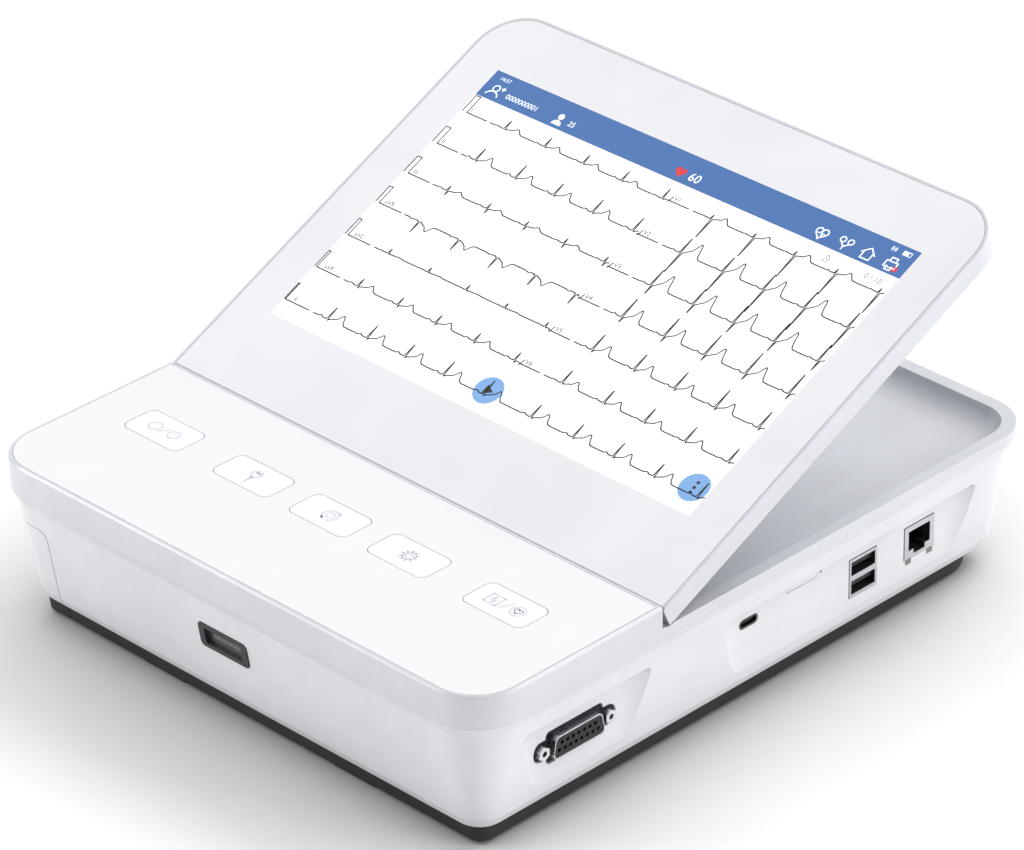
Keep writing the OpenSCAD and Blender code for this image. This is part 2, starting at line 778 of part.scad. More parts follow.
module display_screws() color("silver") place_display() {
  for (x = [-1, 1], y = display_screw_y) {
    upright(x * display_screw_x, y, display_z, board_head_r, 0.9);
    upright(x * display_screw_x, y, display_z + 0.9 - eps, board_shank_r, 4);
  }
  for (s = [-1, 1], x = [-8, 8]) {
    upright(s * hinge_x + x, leaf_screw_y, hinge_z - barrel_r - 0.8, board_head_r, 0.8);
    upright(s * hinge_x + x, leaf_screw_y, hinge_z - barrel_r - 0.5, board_shank_r, 3.5);
  }
}

// display side of each hinge: two knuckles on a flat leaf
module hinge_leaves() color("silver") place_display() for (s = [-1, 1]) difference() {
  union() {
    for (k = [-1, 1]) {
      x = s * hinge_x + k * (knuckle_x + knuckle_l / 2) - knuckle_l / 2;
      along_x(x, hinge_y, hinge_z, barrel_r, knuckle_l);
      block(x, hinge_y, hinge_z - barrel_r, knuckle_l, 9, 1.3);
    }
    block(s * hinge_x - knuckle_x - knuckle_l, hinge_y + barrel_r + 0.6, hinge_z - barrel_r,
      2 * (knuckle_x + knuckle_l), 16, 1.3);
  }
  for (x = [-8, 8]) upright(s * hinge_x + x, leaf_screw_y, hinge_z - 5, board_shank_r + 0.1, 8);
  along_x(s * hinge_x - 15, hinge_y, hinge_z, pin_r, 30);
}

module hinge_pins() color("silver") place_display()
  for (s = [-1, 1]) along_x(s * hinge_x - knuckle_x - knuckle_l + 0.2, hinge_y, hinge_z, pin_r,
    2 * (knuckle_x + knuckle_l) - 0.4);

module hinge_brackets() color("dimgray") for (s = [-1, 1]) difference() {
  union() {
    along_x(s * hinge_x - barrel_l / 2, hinge_y, hinge_z, barrel_r, barrel_l);
    block(s * hinge_x - barrel_l / 2, hinge_y - 1.5, tray_z, barrel_l, 3, hinge_z - tray_z);
    block(s * hinge_x - 8.5, deck_d + 0.4, tray_z, 17, 13, 1.5);
  }
  along_x(s * hinge_x - 10, hinge_y, hinge_z, pin_r + run, 20);
  for (x = [-5, 5]) upright(s * hinge_x + x, bracket_screw_y, tray_z - 1, board_shank_r + 0.1, 4);
}

// ---------- paper drawer ----------

module drawer_front() color("whitesmoke") difference() {
  intersection() {
    drawer_zone(0);
    union() {
      difference() {
        white_outside();
        white_inside();
      }
      intersection() {
        white_outside();
        finger(pocket_t);
      }
    }
    block(-body_w / 2, 0, white_z + 0.2, body_w, body_d, body_h);
  }
  finger(0);
  // lead-in of the paper slot
  translate([-body_w / 2 + 3, fy(slot_y), seam_z + 1.2]) rotate([0, 32, 0]) cube([20, paper_w, 10]);
}

module drawer_tray() color("gray") difference() {
  union() {
    // floor and walls
    block(tray_x[0], tray_y[0], tray_low, tray_x[1] - tray_x[0], tray_y[1] - tray_y[0], tray_wall);
    block(tray_x[1] - tray_wall, tray_y[0], tray_low, tray_wall, tray_y[1] - tray_y[0], 20);
    for (s = [0, 1]) {
      y = tray_y[s] - s * tray_wall;
      block(tray_x[0], y, tray_low, tray_x[1] - tray_x[0], tray_wall, 23);
      along_y(platen_x, y, platen_z, 5.6, tray_wall);
      block(platen_x - 5.6, y, tray_low + 10, 11.2, tray_wall, platen_z - tray_low - 10);
    }
    // bulkhead behind the front
    intersection() {
      block(tray_x[0] - 2, 16, tray_low, 2, body_d - 32, 14);
      white_inside();
    }
    // dark skirt below the front
    intersection() {
      drawer_zone(0);
      difference() {
        base_outside();
        base_inside();
      }
    }
    intersection() {
      block(-body_w / 2, 14, tray_low - 0.8, tray_x[0] + body_w / 2 + 1, body_d - 28, 1.5);
      flare(white_in + 1, white_in + 1, 0, body_h);
    }
  }
  for (s = [0, 1]) along_y(platen_x, tray_y[s] - s * tray_wall - 1, platen_z, bush_r, tray_wall + 2);
}

module paper_pack() color("mistyrose")
  block(tray_x[1] - tray_wall - paper_l - 0.7, (tray_y[0] + tray_y[1] - paper_w) / 2, tray_low + tray_wall,
    paper_l, paper_w, paper_h);

module platen_bushes() color("burlywood") for (s = [0, 1]) difference() {
  y = tray_y[s] - s * tray_wall;
  union() {
    along_y(platen_x, y - 0.5, platen_z, bush_r, bush_l);
    along_y(platen_x, s == 0 ? y - 1 : y + tray_wall, platen_z, bush_r + 1, 1);
  }
  along_y(platen_x, y - 5, platen_z, shaft_r + run, 12);
}

module platen_roller() color("black") difference() {
  along_y(platen_x, platen_y[0], platen_z, platen_r, platen_y[1] - platen_y[0]);
  along_y(platen_x, platen_y[0] - 1, platen_z, shaft_r, platen_y[1] - platen_y[0] + 2);
}

module platen_shaft() color("silver")
  along_y(platen_x, tray_y[0] - 2.5, platen_z, shaft_r, gear_y + gear_w + 1 - tray_y[0] + 2.5);

module platen_gear() color("ivory")
  place_gear(platen_x, platen_z, gear_y, 0) gear(platen_teeth, shaft_r, gear_w);

module idler_gear() color("ivory")
  place_gear(idler_x, platen_z, gear_y, 180 + 180 / idler_teeth) gear(idler_teeth, post_r + run, gear_w);

module drive_pinion() color("silver") {
  place_gear(pinion_x, pinion_z, gear_y, pinion_dir + 180 + 180 / pinion_teeth)
    gear(pinion_teeth, motor_shaft_r, gear_w);
  along_y(pinion_x, gear_y - 1, pinion_z, motor_shaft_r, plate_y + plate_t + 4 - gear_y);
}

module gear_plate() color("silver") {
  difference() {
    union() {
      block(-100, plate_y, floor_z + 2, 36, plate_t, 40);
      block(-98, plate_y + plate_t - eps, floor_z + 2, 32, 9, plate_t);
    }
    along_y(pinion_x, plate_y - 1, pinion_z, 3, 4);
  }
  along_y(idler_x, gear_y - 1.5, platen_z, post_r, plate_y - gear_y + 1.5 + eps);
  difference() {
    along_y(idler_x, gear_y + gear_w + 0.2, platen_z, post_r + 1.4, plate_y - gear_y - gear_w - 0.2);
    along_y(idler_x, gear_y, platen_z, post_r, 10);
  }
}

module stepper_motor() color("silver") difference() {
  union() {
    along_y(pinion_x, plate_y + plate_t, pinion_z, motor_r, motor_l);
    along_y(pinion_x, plate_y + 0.2, pinion_z, 2.9, 3);
  }
  along_y(pinion_x, plate_y - 1, pinion_z, motor_shaft_r + run, 6.5);
}

module head_strip() color("burlywood")
  block(head_x[0], head_y[0] + 2, head_z, 18, head_y[1] - head_y[0] - 4, head_t);

module head_heatsink() color("silver") difference() {
  block(head_x[0], head_y[0], head_z + head_t, head_x[1] - head_x[0], head_y[1] - head_y[0], head_sink_t);
  for (x = [-115, -110.5, -106]) block(x, head_y[0] - 1, head_z + head_t + 2, 2, 300, 10);
}

// bowed leaf springs pressing the head onto the roller
module head_springs() color("silver") {
  z = head_z + head_t + head_sink_t;
  h = tray_under - z;
  for (y = [110, 170, 230]) translate([-114, fy(y), z]) rotate([90, 0, 90]) linear_extrude(9) polygon([
    [0, 0], [4, 0], [11, h - 0.4], [19, h - 0.4], [26, 0], [30, 0],
    [30, 0.4], [26.2, 0.4], [19.2, h], [10.8, h], [3.8, 0.4], [0, 0.4]]);
}

module tear_bar() color("silver")
  block(-body_w / 2 + wall_in(seam_z) + 0.3, slot_y + 0.5, seam_z + slot_h - tear_t,
    2, paper_w - 1, tear_t);

// ---------- electronics ----------

module main_board() color("green") {
  z = main_board_z + board_t;
  board(main_board, main_board_z, main_posts);
  block(58, 118, z, 20, 20, 2);
  block(60, 120, z + 2, 16, 16, 5);
  block(52, 150, z, 14, 10, 1.2);
  block(70, 150, z, 14, 10, 1.2);
  block(50, 172, z, 30, 6, 5);
  block(90, 116, z, 12, 12, 4);
}

module io_board() color("green") {
  board(io_board, io_board_z, io_posts);
  block(97, 216, io_board_z + board_t, 6, 10, 1.4);
}

module ecg_board() color("green") {
  board(ecg_board, ecg_board_z, ecg_posts);
  block(58, 24, ecg_board_z + board_t, 20, 5, 4);
}

module ecg_shield() color("silver") difference() {
  block(60, 34, ecg_board_z + board_t, 34, 52, 5);
  block(60.4, 34.4, ecg_board_z + board_t - 1, 33.2, 51.2, 5.6);
  for (x = [65:6:90], y = [40:6:82]) upright(x, y, ecg_board_z + board_t + 4, 1, 3);
}

module power_supply() color("green") {
  z = psu_board_z + board_t;
  board(psu_board, psu_board_z, psu_posts);
  block(52, 212, z, 26, 22, 20);
  block(80, 202, z, 3, 46, 22);
  upright(58, 248, z, 8, 24);
  upright(72, 246, z, 4, 12);
  upright(58, 202, z, 4, 14);
  upright(70, 202, z, 4, 14);
}

module battery_pack() color("steelblue") {
  for (i = [0, 1]) along_y(battery_box[0] + cell_r + 0.4 + i * (2 * cell_r + 0.8), battery_box[1],
    battery_z + cell_r, cell_r, battery_box[3]);
  block(battery_box[0] + cell_r, battery_box[1], battery_z, battery_box[2] - 2 * cell_r, battery_box[3],
    2 * cell_r);
}

module speaker() color("black") difference() {
  block(speaker_box[0], speaker_box[1], floor_z, speaker_box[2], speaker_box[3], 4.2);
  block(speaker_box[0] + 2, speaker_box[1] + 2, floor_z - 1, speaker_box[2] - 4, speaker_box[3] - 4, 1.8);
}

module board_screws() color("silver") {
  for (p = ecg_posts) board_screw(p, ecg_board_z + board_t);
  for (p = main_posts) board_screw(p, main_board_z + board_t);
  for (p = io_posts) board_screw(p, io_board_z + board_t);
  for (p = psu_posts) board_screw(p, psu_board_z + board_t);
  for (p = keypad_screws) {
    upright(p[0], p[1], keypad_board_z - 1.4, board_head_r, 1.4);
    upright(p[0], p[1], keypad_board_z - 1, board_shank_r, 6);
  }
  for (s = [-1, 1], x = [-5, 5]) {
    upright(s * hinge_x + x, bracket_screw_y, tray_z - 4.5, board_shank_r, 6.5);
    upright(s * hinge_x + x, bracket_screw_y, tray_z + 1.5, board_head_r, 1);
  }
}

// ---------- sockets ----------

// D outline, long side down, standing in the socket side
module dee(x, w, h, t) {
  translate([x, fy(lead_y), lead_z]) rotate([90, 0, 90]) linear_extrude(t) hull() {
    for (s = [-1, 1]) {
      translate([s * (w / 2 - 2.9), h / 2 - 2]) circle(2, $fn = 32);
      translate([s * (w / 2 - 2), -h / 2 + 2]) circle(2, $fn = 32);
    }
  }
}

// flange outline round the D and its two jack screws, grown by e
module lead_plate(x, e, t) {
  translate([x, fy(lead_y), lead_z]) rotate([90, 0, 90]) linear_extrude(t) {
    rrect(dee_w + 2.2 + 2 * e, dee_h + 3.4 + 2 * e, 2);
    square([jack_pitch, 2 * (jack_ear_r + e)], center = true);
    for (s = [-1, 1]) translate([s * jack_pitch / 2, 0]) circle(jack_ear_r + e);
  }
}

module lead_shell() color("silver") difference() {
  union() {
    lead_plate(flange_x, 0, flange_t);
    dee(flange_x, dee_w, dee_h, shell_out + flange_t);
    block(101, lead_y - lead_body_w / 2, lead_z - 5.5, flange_x - 101 + eps, lead_body_w, 12);
  }
  dee(104, dee_w - 2 * dee_wall, dee_h - 2 * dee_wall, 30);
  for (s = [-1, 1]) along_x(flange_x - 1, lead_y + s * jack_pitch / 2, lead_z, 1.6, 4);
}

module lead_insert() color("black") difference() {
  dee(104, dee_w - 2 * dee_wall, dee_h - 2 * dee_wall, flange_x + flange_t + shell_out - 104.3);
  for (i = [0:7]) along_x(115, lead_y + (i - 3.5) * contact_pitch, lead_z - row_gap / 2, contact_r, 20);
  for (i = [0:6]) along_x(115, lead_y + (i - 3) * contact_pitch, lead_z + row_gap / 2, contact_r, 20);
}

module jack_screws() color("silver") for (s = [-1, 1]) difference() {
  translate([flange_x + flange_t, fy(lead_y) + s * jack_pitch / 2, lead_z]) rotate([0, 90, 0]) {
    cylinder(h = jack_l, r = jack_r, $fn = 6);
    translate([0, 0, -flange_t - 4]) cylinder(h = flange_t + 4 + eps, r = 1.4);
  }
  along_x(flange_x + flange_t - 2, lead_y + s * jack_pitch / 2, lead_z, jack_hole_r, 10);
}

module usb_a_shell() color("silver") difference() {
  block(102, usba_y - usba_w / 2, usba_z - usba_h / 2, port_x - 102, usba_w, usba_h);
  for (s = [-1, 1]) block(104, usba_y - 6.5, usba_z + s * 4 - 2.9, 30, 13, 5.8);
}

module usb_a_tongues() color("black") for (s = [-1, 1]) {
  block(104, usba_y - 6, usba_z + s * 4 - 0.3, port_x - 105.6, 12, 1.9);
  block(104, usba_y - 6.5, usba_z + s * 4 - 2.9, 3, 13, 5.8);
}

module usb_c_port() color("silver") {
  difference() {
    side_plate(pocket_x - 8, usbc_y, usbc_z, usbc_w, usbc_h, usbc_h / 2 - 0.05, 8);
    side_plate(pocket_x - 6.5, usbc_y, usbc_z, usbc_w - 0.7, usbc_h - 0.7, usbc_h / 2 - 0.4, 8);
  }
  block(pocket_x - 7, usbc_y - 3.3, usbc_z - 0.35, 6, 6.6, 0.7);
}

module lan_socket() color("silver") difference() {
  union() {
    block(99, lan_y - lan_w / 2, lan_z - lan_h / 2, port_x - 99, lan_w, lan_h);
    block(100, lan_y - lan_w / 2, io_board_z + board_t, 14, lan_w, 4);
  }
  block(104, lan_y - 5.9, lan_z - 3.6, 30, 11.8, 8.2);
  block(104, lan_y - 3.1, lan_z - 5.6, 30, 6.2, 4);
}

module card_tray() color("whitesmoke") {
  side_plate(pocket_x - 1.2, card_y, card_z, card_w, card_h, card_h / 2 - 0.2, 1.2);
  block(pocket_x - 15, card_y - 7, card_z - 0.5, 13.8 + eps, 14, 1);
}

module card_socket() color("silver") difference() {
  block(103, card_y - 9, main_board_z + board_t, pocket_x - 1.5 - 103 - pocket_t, 18,
    card_z + 1.6 - main_board_z - board_t);
  block(104, card_y - 7.3, card_z - 0.8, 30, 14.6, 1.6);
}

module mains_inlet() color("black") {
  translate([inlet_x, fy(back_pocket_y), inlet_z]) rotate([-90, 0, 0]) difference() {
    union() {
      linear_extrude(1.6) rrect(inlet_w + 3.8, inlet_h + 4.2, 3);
      translate([0, 0, -19]) linear_extrude(19 + eps) rrect(inlet_w, inlet_h, 1.8);
    }
    translate([0, 0, -14]) linear_extrude(20) polygon([[-12, -4.5], [-8.5, -8], [8.5, -8], [12, -4.5],
      [12, 8], [-12, 8]]);
  }
  for (p = [[-7, 2], [0, -2], [7, 2]])
    block(inlet_x + p[0] - 1, back_pocket_y - 15, inlet_z + p[1] - 2, 2, 12, 4);
}

module earth_stud() color("gold") {
  along_y(stud_x, well_y, stud_z, stud_r, stud_end - well_y);
  along_y(stud_x, well_y, stud_z, 5, 1.5);
  along_y(stud_x, well_y - 6, stud_z, stud_r - 0.5, 6 + eps);
  along_y(stud_x, well_y - 4.6, stud_z, 5, 2.4);
}

// ---------- scanner ----------

module scanner_bezel() color("dimgray") scan_place() translate([0, 0, -3]) difference() {
  linear_extrude(3.4) rrect(scan_w, scan_h, 2);
  translate([0, 0, -1]) linear_extrude(6) rrect(scan_glass[0], scan_glass[1], 0.8);
  translate([0, 0, -1]) linear_extrude(2.6) rrect(scan_glass[0] + 1.4, scan_glass[1] + 1.4, 1);
}

module scanner_window() color("gray", 0.6) scan_place() translate([0, 0, -2.5])
  linear_extrude(1.05) rrect(scan_glass[0] + 1.2, scan_glass[1] + 1.2, 0.9);

module scanner_module() color("darkgray") scan_place() difference() {
  translate([-11, -6, -17]) cube([22, 12, 13.6]);
  translate([-8, -3, -6]) cube([16, 6, 5]);
}

top_case();
keypad_panel();
lower_case();
base_plate();
battery_door();
rubber_feet();
case_screws();
key_power();
key_leads();
key_repeat();
key_setup();
key_record();
keypad_mat();
keypad_board();
display_frame();
display_glass();
lcd_panel();
display_back();
display_board();
display_screws();
hinge_leaves();
hinge_pins();
hinge_brackets();
drawer_front();
drawer_tray();
paper_pack();
platen_bushes();
platen_roller();
platen_shaft();
platen_gear();
idler_gear();
drive_pinion();
gear_plate();
stepper_motor();
head_strip();
head_heatsink();
head_springs();
tear_bar();
main_board();
io_board();
ecg_board();
ecg_shield();
power_supply();
battery_pack();
speaker();
board_screws();
lead_shell();
lead_insert();
jack_screws();
usb_a_shell();
usb_a_tongues();
usb_c_port();
lan_socket();
card_tray();
card_socket();
mains_inlet();
earth_stud();
scanner_bezel();
scanner_window();
scanner_module();
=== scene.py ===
import math

import bpy
from mathutils import Matrix, Vector
from mathutils.geometry import tessellate_polygon


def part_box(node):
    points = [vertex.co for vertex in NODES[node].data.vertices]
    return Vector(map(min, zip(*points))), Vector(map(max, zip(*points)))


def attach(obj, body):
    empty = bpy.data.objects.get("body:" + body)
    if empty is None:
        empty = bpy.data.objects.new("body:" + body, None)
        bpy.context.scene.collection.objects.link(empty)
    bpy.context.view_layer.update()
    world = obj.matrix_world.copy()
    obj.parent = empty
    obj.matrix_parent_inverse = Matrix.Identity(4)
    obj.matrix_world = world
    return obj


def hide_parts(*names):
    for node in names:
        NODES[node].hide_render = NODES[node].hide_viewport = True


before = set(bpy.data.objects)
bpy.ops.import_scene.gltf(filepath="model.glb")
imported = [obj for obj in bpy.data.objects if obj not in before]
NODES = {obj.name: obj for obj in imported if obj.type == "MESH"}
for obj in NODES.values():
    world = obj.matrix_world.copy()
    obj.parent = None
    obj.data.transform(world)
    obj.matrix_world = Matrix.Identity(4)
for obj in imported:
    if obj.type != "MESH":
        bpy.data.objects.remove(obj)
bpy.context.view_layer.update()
MM = 0.001
TAU = 2 * math.pi


# ---------------------------------------------------------------- shader trees


def srgb(r, g, b):
    """A screen colour of 0 to 255 as a linear RGBA colour."""
    return tuple(((c / 255 + 0.055) / 1.055) ** 2.4 if c > 10 else c / 255 / 12.92 for c in (r, g,
                                                                                             b)) + (1.0,)


class Graph:
    """A material's node tree. Lengths in it are millimetres of the row frame."""

    def __init__(self, name):
        self.mat = bpy.data.materials.new(name)
        self.mat.use_nodes = True
        self.nodes = self.mat.node_tree.nodes
        self.links = self.mat.node_tree.links
        self.nodes.clear()
        coord = self.nodes.new("ShaderNodeTexCoord").outputs["Object"]
        scale = self.nodes.new("ShaderNodeVectorMath")
        scale.operation = "SCALE"
        self.links.new(coord, scale.inputs[0])
        scale.inputs["Scale"].default_value = 1 / MM
        self.mm = scale.outputs[0]
        split = self.add("SeparateXYZ", Vector=self.mm)
        self.x, self.y, self.z = split.outputs
        self.geometry = self.nodes.new("ShaderNodeNewGeometry")

    def feed(self, socket, value):
        if isinstance(value, bpy.types.NodeSocket):
            self.links.new(value, socket)
        else:
            socket.default_value = value

    def add(self, kind, **values):
        n = self.nodes.new("ShaderNode" + kind)
        for key, value in values.items():
            if key[0].islower():
                setattr(n, key, value)
            else:
                self.feed(n.inputs[key.replace("_", " ")], value)
        return n

    def op(self, kind, a, b=0.0, c=0.0, clamp=False):
        n = self.add("Math", operation=kind, use_clamp=clamp)
        for socket, value in zip(n.inputs, (a, b, c)):
            self.feed(socket, value)
        return n.outputs[0]

    def remap(self, value, a, b, lo=0.0, hi=1.0):
        return self.add("MapRange", Value=value, From_Min=a, From_Max=b, To_Min=lo, To_Max=hi).outputs[0]

    def mix(self, factor, a, b):
        n = self.add("Mix", data_type="RGBA")
        self.feed(n.inputs[0], factor)
        self.feed(n.inputs[6], a)
        self.feed(n.inputs[7], b)
        return n.outputs[2]

    def stretched(self, sx, sy, sz):
        n = self.add("VectorMath", operation="MULTIPLY")
        self.feed(n.inputs[0], self.mm)
        n.inputs[1].default_value = (sx, sy, sz)
        return n.outputs[0]

    def noise(self, scale, detail=2.0, stretch=None):
        vector = self.stretched(*stretch) if stretch else self.mm
        return self.add("TexNoise", Vector=vector, Scale=scale, Detail=detail).outputs["Fac"]

    def cells(self, scale, feature="F1", stretch=None, out="Distance"):
        vector = self.stretched(*stretch) if stretch else self.mm
        return self.add("TexVoronoi", feature=feature, Vector=vector, Scale=scale).outputs[out]

    def bump(self, height, depth, normal=None):
        """depth is the height of a full step, in millimetres."""
        n = self.add("Bump", Height=height, Strength=1.0, Distance=depth * MM)
        if normal is not None:
            self.feed(n.inputs["Normal"], normal)
        return n.outputs[0]

    def rounded(self, radius):
        """The surface normal with edges eased over radius, and a mask of those edges."""
        soft = self.add("Bevel", samples=4, Radius=radius * MM).outputs[0]
        dot = self.add("VectorMath", operation="DOT_PRODUCT")
        self.feed(dot.inputs[0], soft)
        self.feed(dot.inputs[1], self.geometry.outputs["Normal"])
        return soft, self.remap(dot.outputs["Value"], 0.995, 0.8)

    def shaded(self, colour, reach, depth):
        """The colour with painted shade: darker where surfaces within reach (millimetres) close in on each other."""
        near = self.add("AmbientOcclusion", samples=6, Distance=reach * MM).outputs["AO"]
        return self.mix(self.remap(near, 0.25, 0.95, depth, 0.0), colour, (0.05, 0.052, 0.06, 1.0))

    def stripes(self, axis, pitch, width):
        """1 on lines of a width repeated at a pitch along an axis socket."""
        phase = self.op("FRACT", self.op("DIVIDE", axis, pitch))
        return self.op("LESS_THAN", self.op("ABSOLUTE", self.op("SUBTRACT", phase, 0.5)), width / pitch / 2)

    def close(self, **values):
        shader = self.add("BsdfPrincipled", **values)
        out = self.nodes.new("ShaderNodeOutputMaterial")
        self.links.new(shader.outputs[0], out.inputs[0])
        return self.mat


def moulded(name, colour, rough, grain=0.012, grain_size=0.5, coat=0.0, edge=0.3, mottle=0.02, edge_highlight=0.25,
            metallic=0.0, shade=0.35):
    """Moulded plastic: spark-eroded grain, faint flow mottling, softened edges that are slightly smoother and
    painted lighter as a highlight.
    """
    g = Graph(name)
    normal, edges = g.rounded(edge)
    fine = g.noise(1 / grain_size, 4.0)
    broad = g.noise(0.025, 3.0)
    streak = g.noise(0.12, 2.0, (1.0, 0.2, 1.0))
    pores = g.cells(0.8 / grain_size, "SMOOTH_F1")
    dark = tuple(c * (1 - 2.2 * mottle) for c in colour[:3]) + (1.0,)
    light = tuple(min(1.0, c * (1 + mottle) + 0.004) for c in colour[:3]) + (1.0,)
    tone = g.op("ADD", g.op("MULTIPLY", broad, 0.6), g.op("MULTIPLY", streak, 0.4))
    base = g.mix(g.remap(tone, 0.35, 0.65), dark, light)
    # painted highlight: the softened edges are drawn lighter where light would glint on them
    painted_highlight = tuple(min(1.0, c * 1.05 + 0.01) for c in colour[:3]) + (1.0,)
    base = g.mix(g.op("MULTIPLY", edges, edge_highlight), base, painted_highlight)
    # painted shade: hollows, creases and walls close to the floor are darkened
    base = g.shaded(base, 24, shade)
    height = g.op("ADD", g.op("MULTIPLY", fine, 0.7), g.op("MULTIPLY", pores, 0.5))
    roughness = g.op("ADD", g.remap(fine, 0.3, 0.7, rough - 0.05, rough + 0.05),
                     g.op("MULTIPLY", edges, -0.08))
    return g.close(Base_Color=base, Roughness=roughness, Normal=g.bump(height, grain, normal),
                   Metallic=metallic, Coat_Weight=coat, Coat_Roughness=0.06, IOR=1.49)


def rubbery(name, colour, rough=0.75, tread=0.0):
    g = Graph(name)
    normal, edges = g.rounded(0.4)
    dust = g.noise(0.35, 5.0)
    grain = g.noise(4.0, 3.0)
    base = g.mix(g.remap(dust, 0.45, 0.8, 0.0, 0.35), colour, srgb(92, 90, 88))
    # painted highlight: edges are drawn towards mid grey, which lightens the dark rubbers
    base = g.mix(g.op("MULTIPLY", edges, 0.3), base, srgb(70, 70, 70))
    height = grain
    if tread:
        height = g.op("ADD", g.op("MULTIPLY", grain, 0.2), g.stripes(g.op("ADD", g.x, g.y), 1.6, 0.7))
    return g.close(Base_Color=base, Roughness=g.remap(grain, 0.2, 0.8, rough - 0.1, rough + 0.1),
                   Normal=g.bump(height, tread or 0.02, normal), Specular_IOR_Level=0.35)


def metal(name, colour, rough, brush=(0.15, 12.0, 12.0), depth=0.004, stain=0.25):
    """Sheet or turned metal: drawn lines along one axis, faint stains, edges painted brighter as a highlight."""
    g = Graph(name)
    normal, edges = g.rounded(0.15)
    lines = g.noise(1.0, 4.0, brush)
    smear = g.noise(0.18, 4.0)
    stain_and_shade = tuple(c * 0.72 for c in colour[:3]) + (1.0,)
    base = g.mix(g.remap(smear, 0.4, 0.75, 0.0, stain * 2), colour, stain_and_shade)
    # painted highlight: edges lightened where light would glint on them
    base = g.mix(g.op("MULTIPLY", edges, 0.5), base,
                 tuple(min(1, c * 1.2 + 0.05) for c in colour[:3]) + (1.0,))
    roughness = g.op("ADD", g.remap(lines, 0.3, 0.7, rough - 0.08, rough + 0.1),
                     g.op("MULTIPLY", smear, 0.08))
    return g.close(Base_Color=base, Metallic=1.0, Roughness=roughness, Normal=g.bump(lines, depth, normal))


def mouth(name, shell, inside, front_x, rough=0.28):
    """A metal socket whose inner walls behind front_x are dark and not metallic: dark plastic in the network socket,
    painted shade inside the metal USB shells.
    """
    g = Graph(name)
    normal, edges = g.rounded(0.12)
    lines = g.noise(1.0, 4.0, (1.0, 10.0, 10.0))
    deep = g.op("LESS_THAN", g.x, front_x)
    tint = g.mix(g.remap(g.noise(0.6, 3.0), 0.35, 0.7, 0.0, 0.4), shell,
                 tuple(c * 0.75 for c in shell[:3]) + (1.0,))
    # painted highlight: edges lightened towards white
    tint = g.mix(g.op("MULTIPLY", edges, 0.5), tint, srgb(240, 240, 240))
    # painted shade inside the USB shells; the network socket's inside is dark plastic
    base = g.mix(deep, tint, inside)
    return g.close(Base_Color=base, Metallic=g.op("SUBTRACT", 1.0, deep),
                   Roughness=g.op("ADD", g.remap(lines, 0.3, 0.7, rough - 0.06, rough + 0.08),
                                  g.op("MULTIPLY", deep, 0.2)),
                   Normal=g.bump(lines, 0.003, normal))


def board(name, low, thick, axis_up=1):
    """A circuit board: solder mask with copper tracks, pads and a dark body on everything above it."""
    g = Graph(name)
    normal, _ = g.rounded(0.15)
    tracks = g.op("MULTIPLY", g.stripes(g.x, 1.7, 0.45), g.op("GREATER_THAN", g.noise(0.12, 1.0), 0.47))
    across = g.op("MULTIPLY", g.stripes(g.y, 1.9, 0.4), g.op("LESS_THAN", g.noise(0.12, 1.0), 0.49))
    copper = g.op("MAXIMUM", tracks, across)
    pads = g.op("LESS_THAN", g.cells(0.42), 0.22)
    mask = g.mix(g.op("MULTIPLY", copper, 0.75), srgb(12, 74, 40), srgb(30, 118, 62))
    mask = g.mix(pads, mask, srgb(204, 190, 140))
    parts = g.op("GREATER_THAN", g.z, low + thick + 0.05) if axis_up > 0 else g.op("LESS_THAN", g.z,
                                                                                   low - 0.05)
    shade = g.mix(g.remap(g.noise(0.08, 0.0), 0.45, 0.55), srgb(28, 28, 30), srgb(58, 58, 62))
    speck = g.mix(g.remap(g.noise(5.0, 2.0), 0.6, 0.7, 0.0, 0.5), shade, srgb(96, 96, 98))
    base = g.mix(parts, mask, speck)
    height = g.op("ADD", g.op("MULTIPLY", copper, 0.5), g.op("MULTIPLY", pads, 0.8))
    return g.close(Base_Color=base, Metallic=g.op("MULTIPLY", pads, g.op("SUBTRACT", 1.0, parts)),
                   Roughness=g.mix(parts, (0.25, 0.25, 0.25, 1), (0.6, 0.6, 0.6, 1)),
                   Normal=g.bump(height, 0.05, normal))


def ink(name, colour, glow=0.0, gloss=0.2):
    """Printed or lit mark under gloss, with a faint unevenness."""
    g = Graph(name)
    fine = g.noise(6.0, 2.0)
    tone = g.mix(g.remap(fine, 0.35, 0.7, 0.0, 0.12), colour, tuple(c * 0.8 for c in colour[:3]) + (1.0,))
    return g.close(Base_Color=tone, Roughness=g.remap(fine, 0.3, 0.7, gloss, gloss + 0.06),
                   Emission_Color=tone, Emission_Strength=glow, Coat_Weight=0.5, Coat_Roughness=0.05)


SILVER = moulded("silver_satin", srgb(214, 216, 221), 0.34, coat=0.12, edge=0.35, metallic=0.3, shade=0.15)
WHITE = moulded("white_satin", srgb(229, 230, 232), 0.42, grain=0.016, shade=0.25)
DECK = moulded("deck_gloss", srgb(232, 233, 235), 0.16, grain=0.002, grain_size=1.6, coat=0.8, edge=0.25,
               mottle=0.006)
KEYCAP = moulded("keycap_gloss", srgb(238, 239, 242), 0.2, grain=0.002, grain_size=1.4, coat=0.6, edge=0.2,
                 mottle=0.006)
CHARCOAL = moulded("charcoal_grain", srgb(20, 21, 23), 0.66, grain=0.04, grain_size=0.7, mottle=0.06)
BEZEL_DARK = moulded("window_frame", srgb(46, 48, 52), 0.42, grain=0.02, grain_size=0.35)
BLACK = moulded("black_moulding", srgb(15, 15, 16), 0.45, grain=0.02, grain_size=0.4, mottle=0.08)
IVORY = moulded("gear_ivory", srgb(226, 221, 204), 0.38, grain=0.01, edge=0.1)
TAN = moulded("bearing_tan", srgb(186, 158, 110), 0.4, edge=0.1)
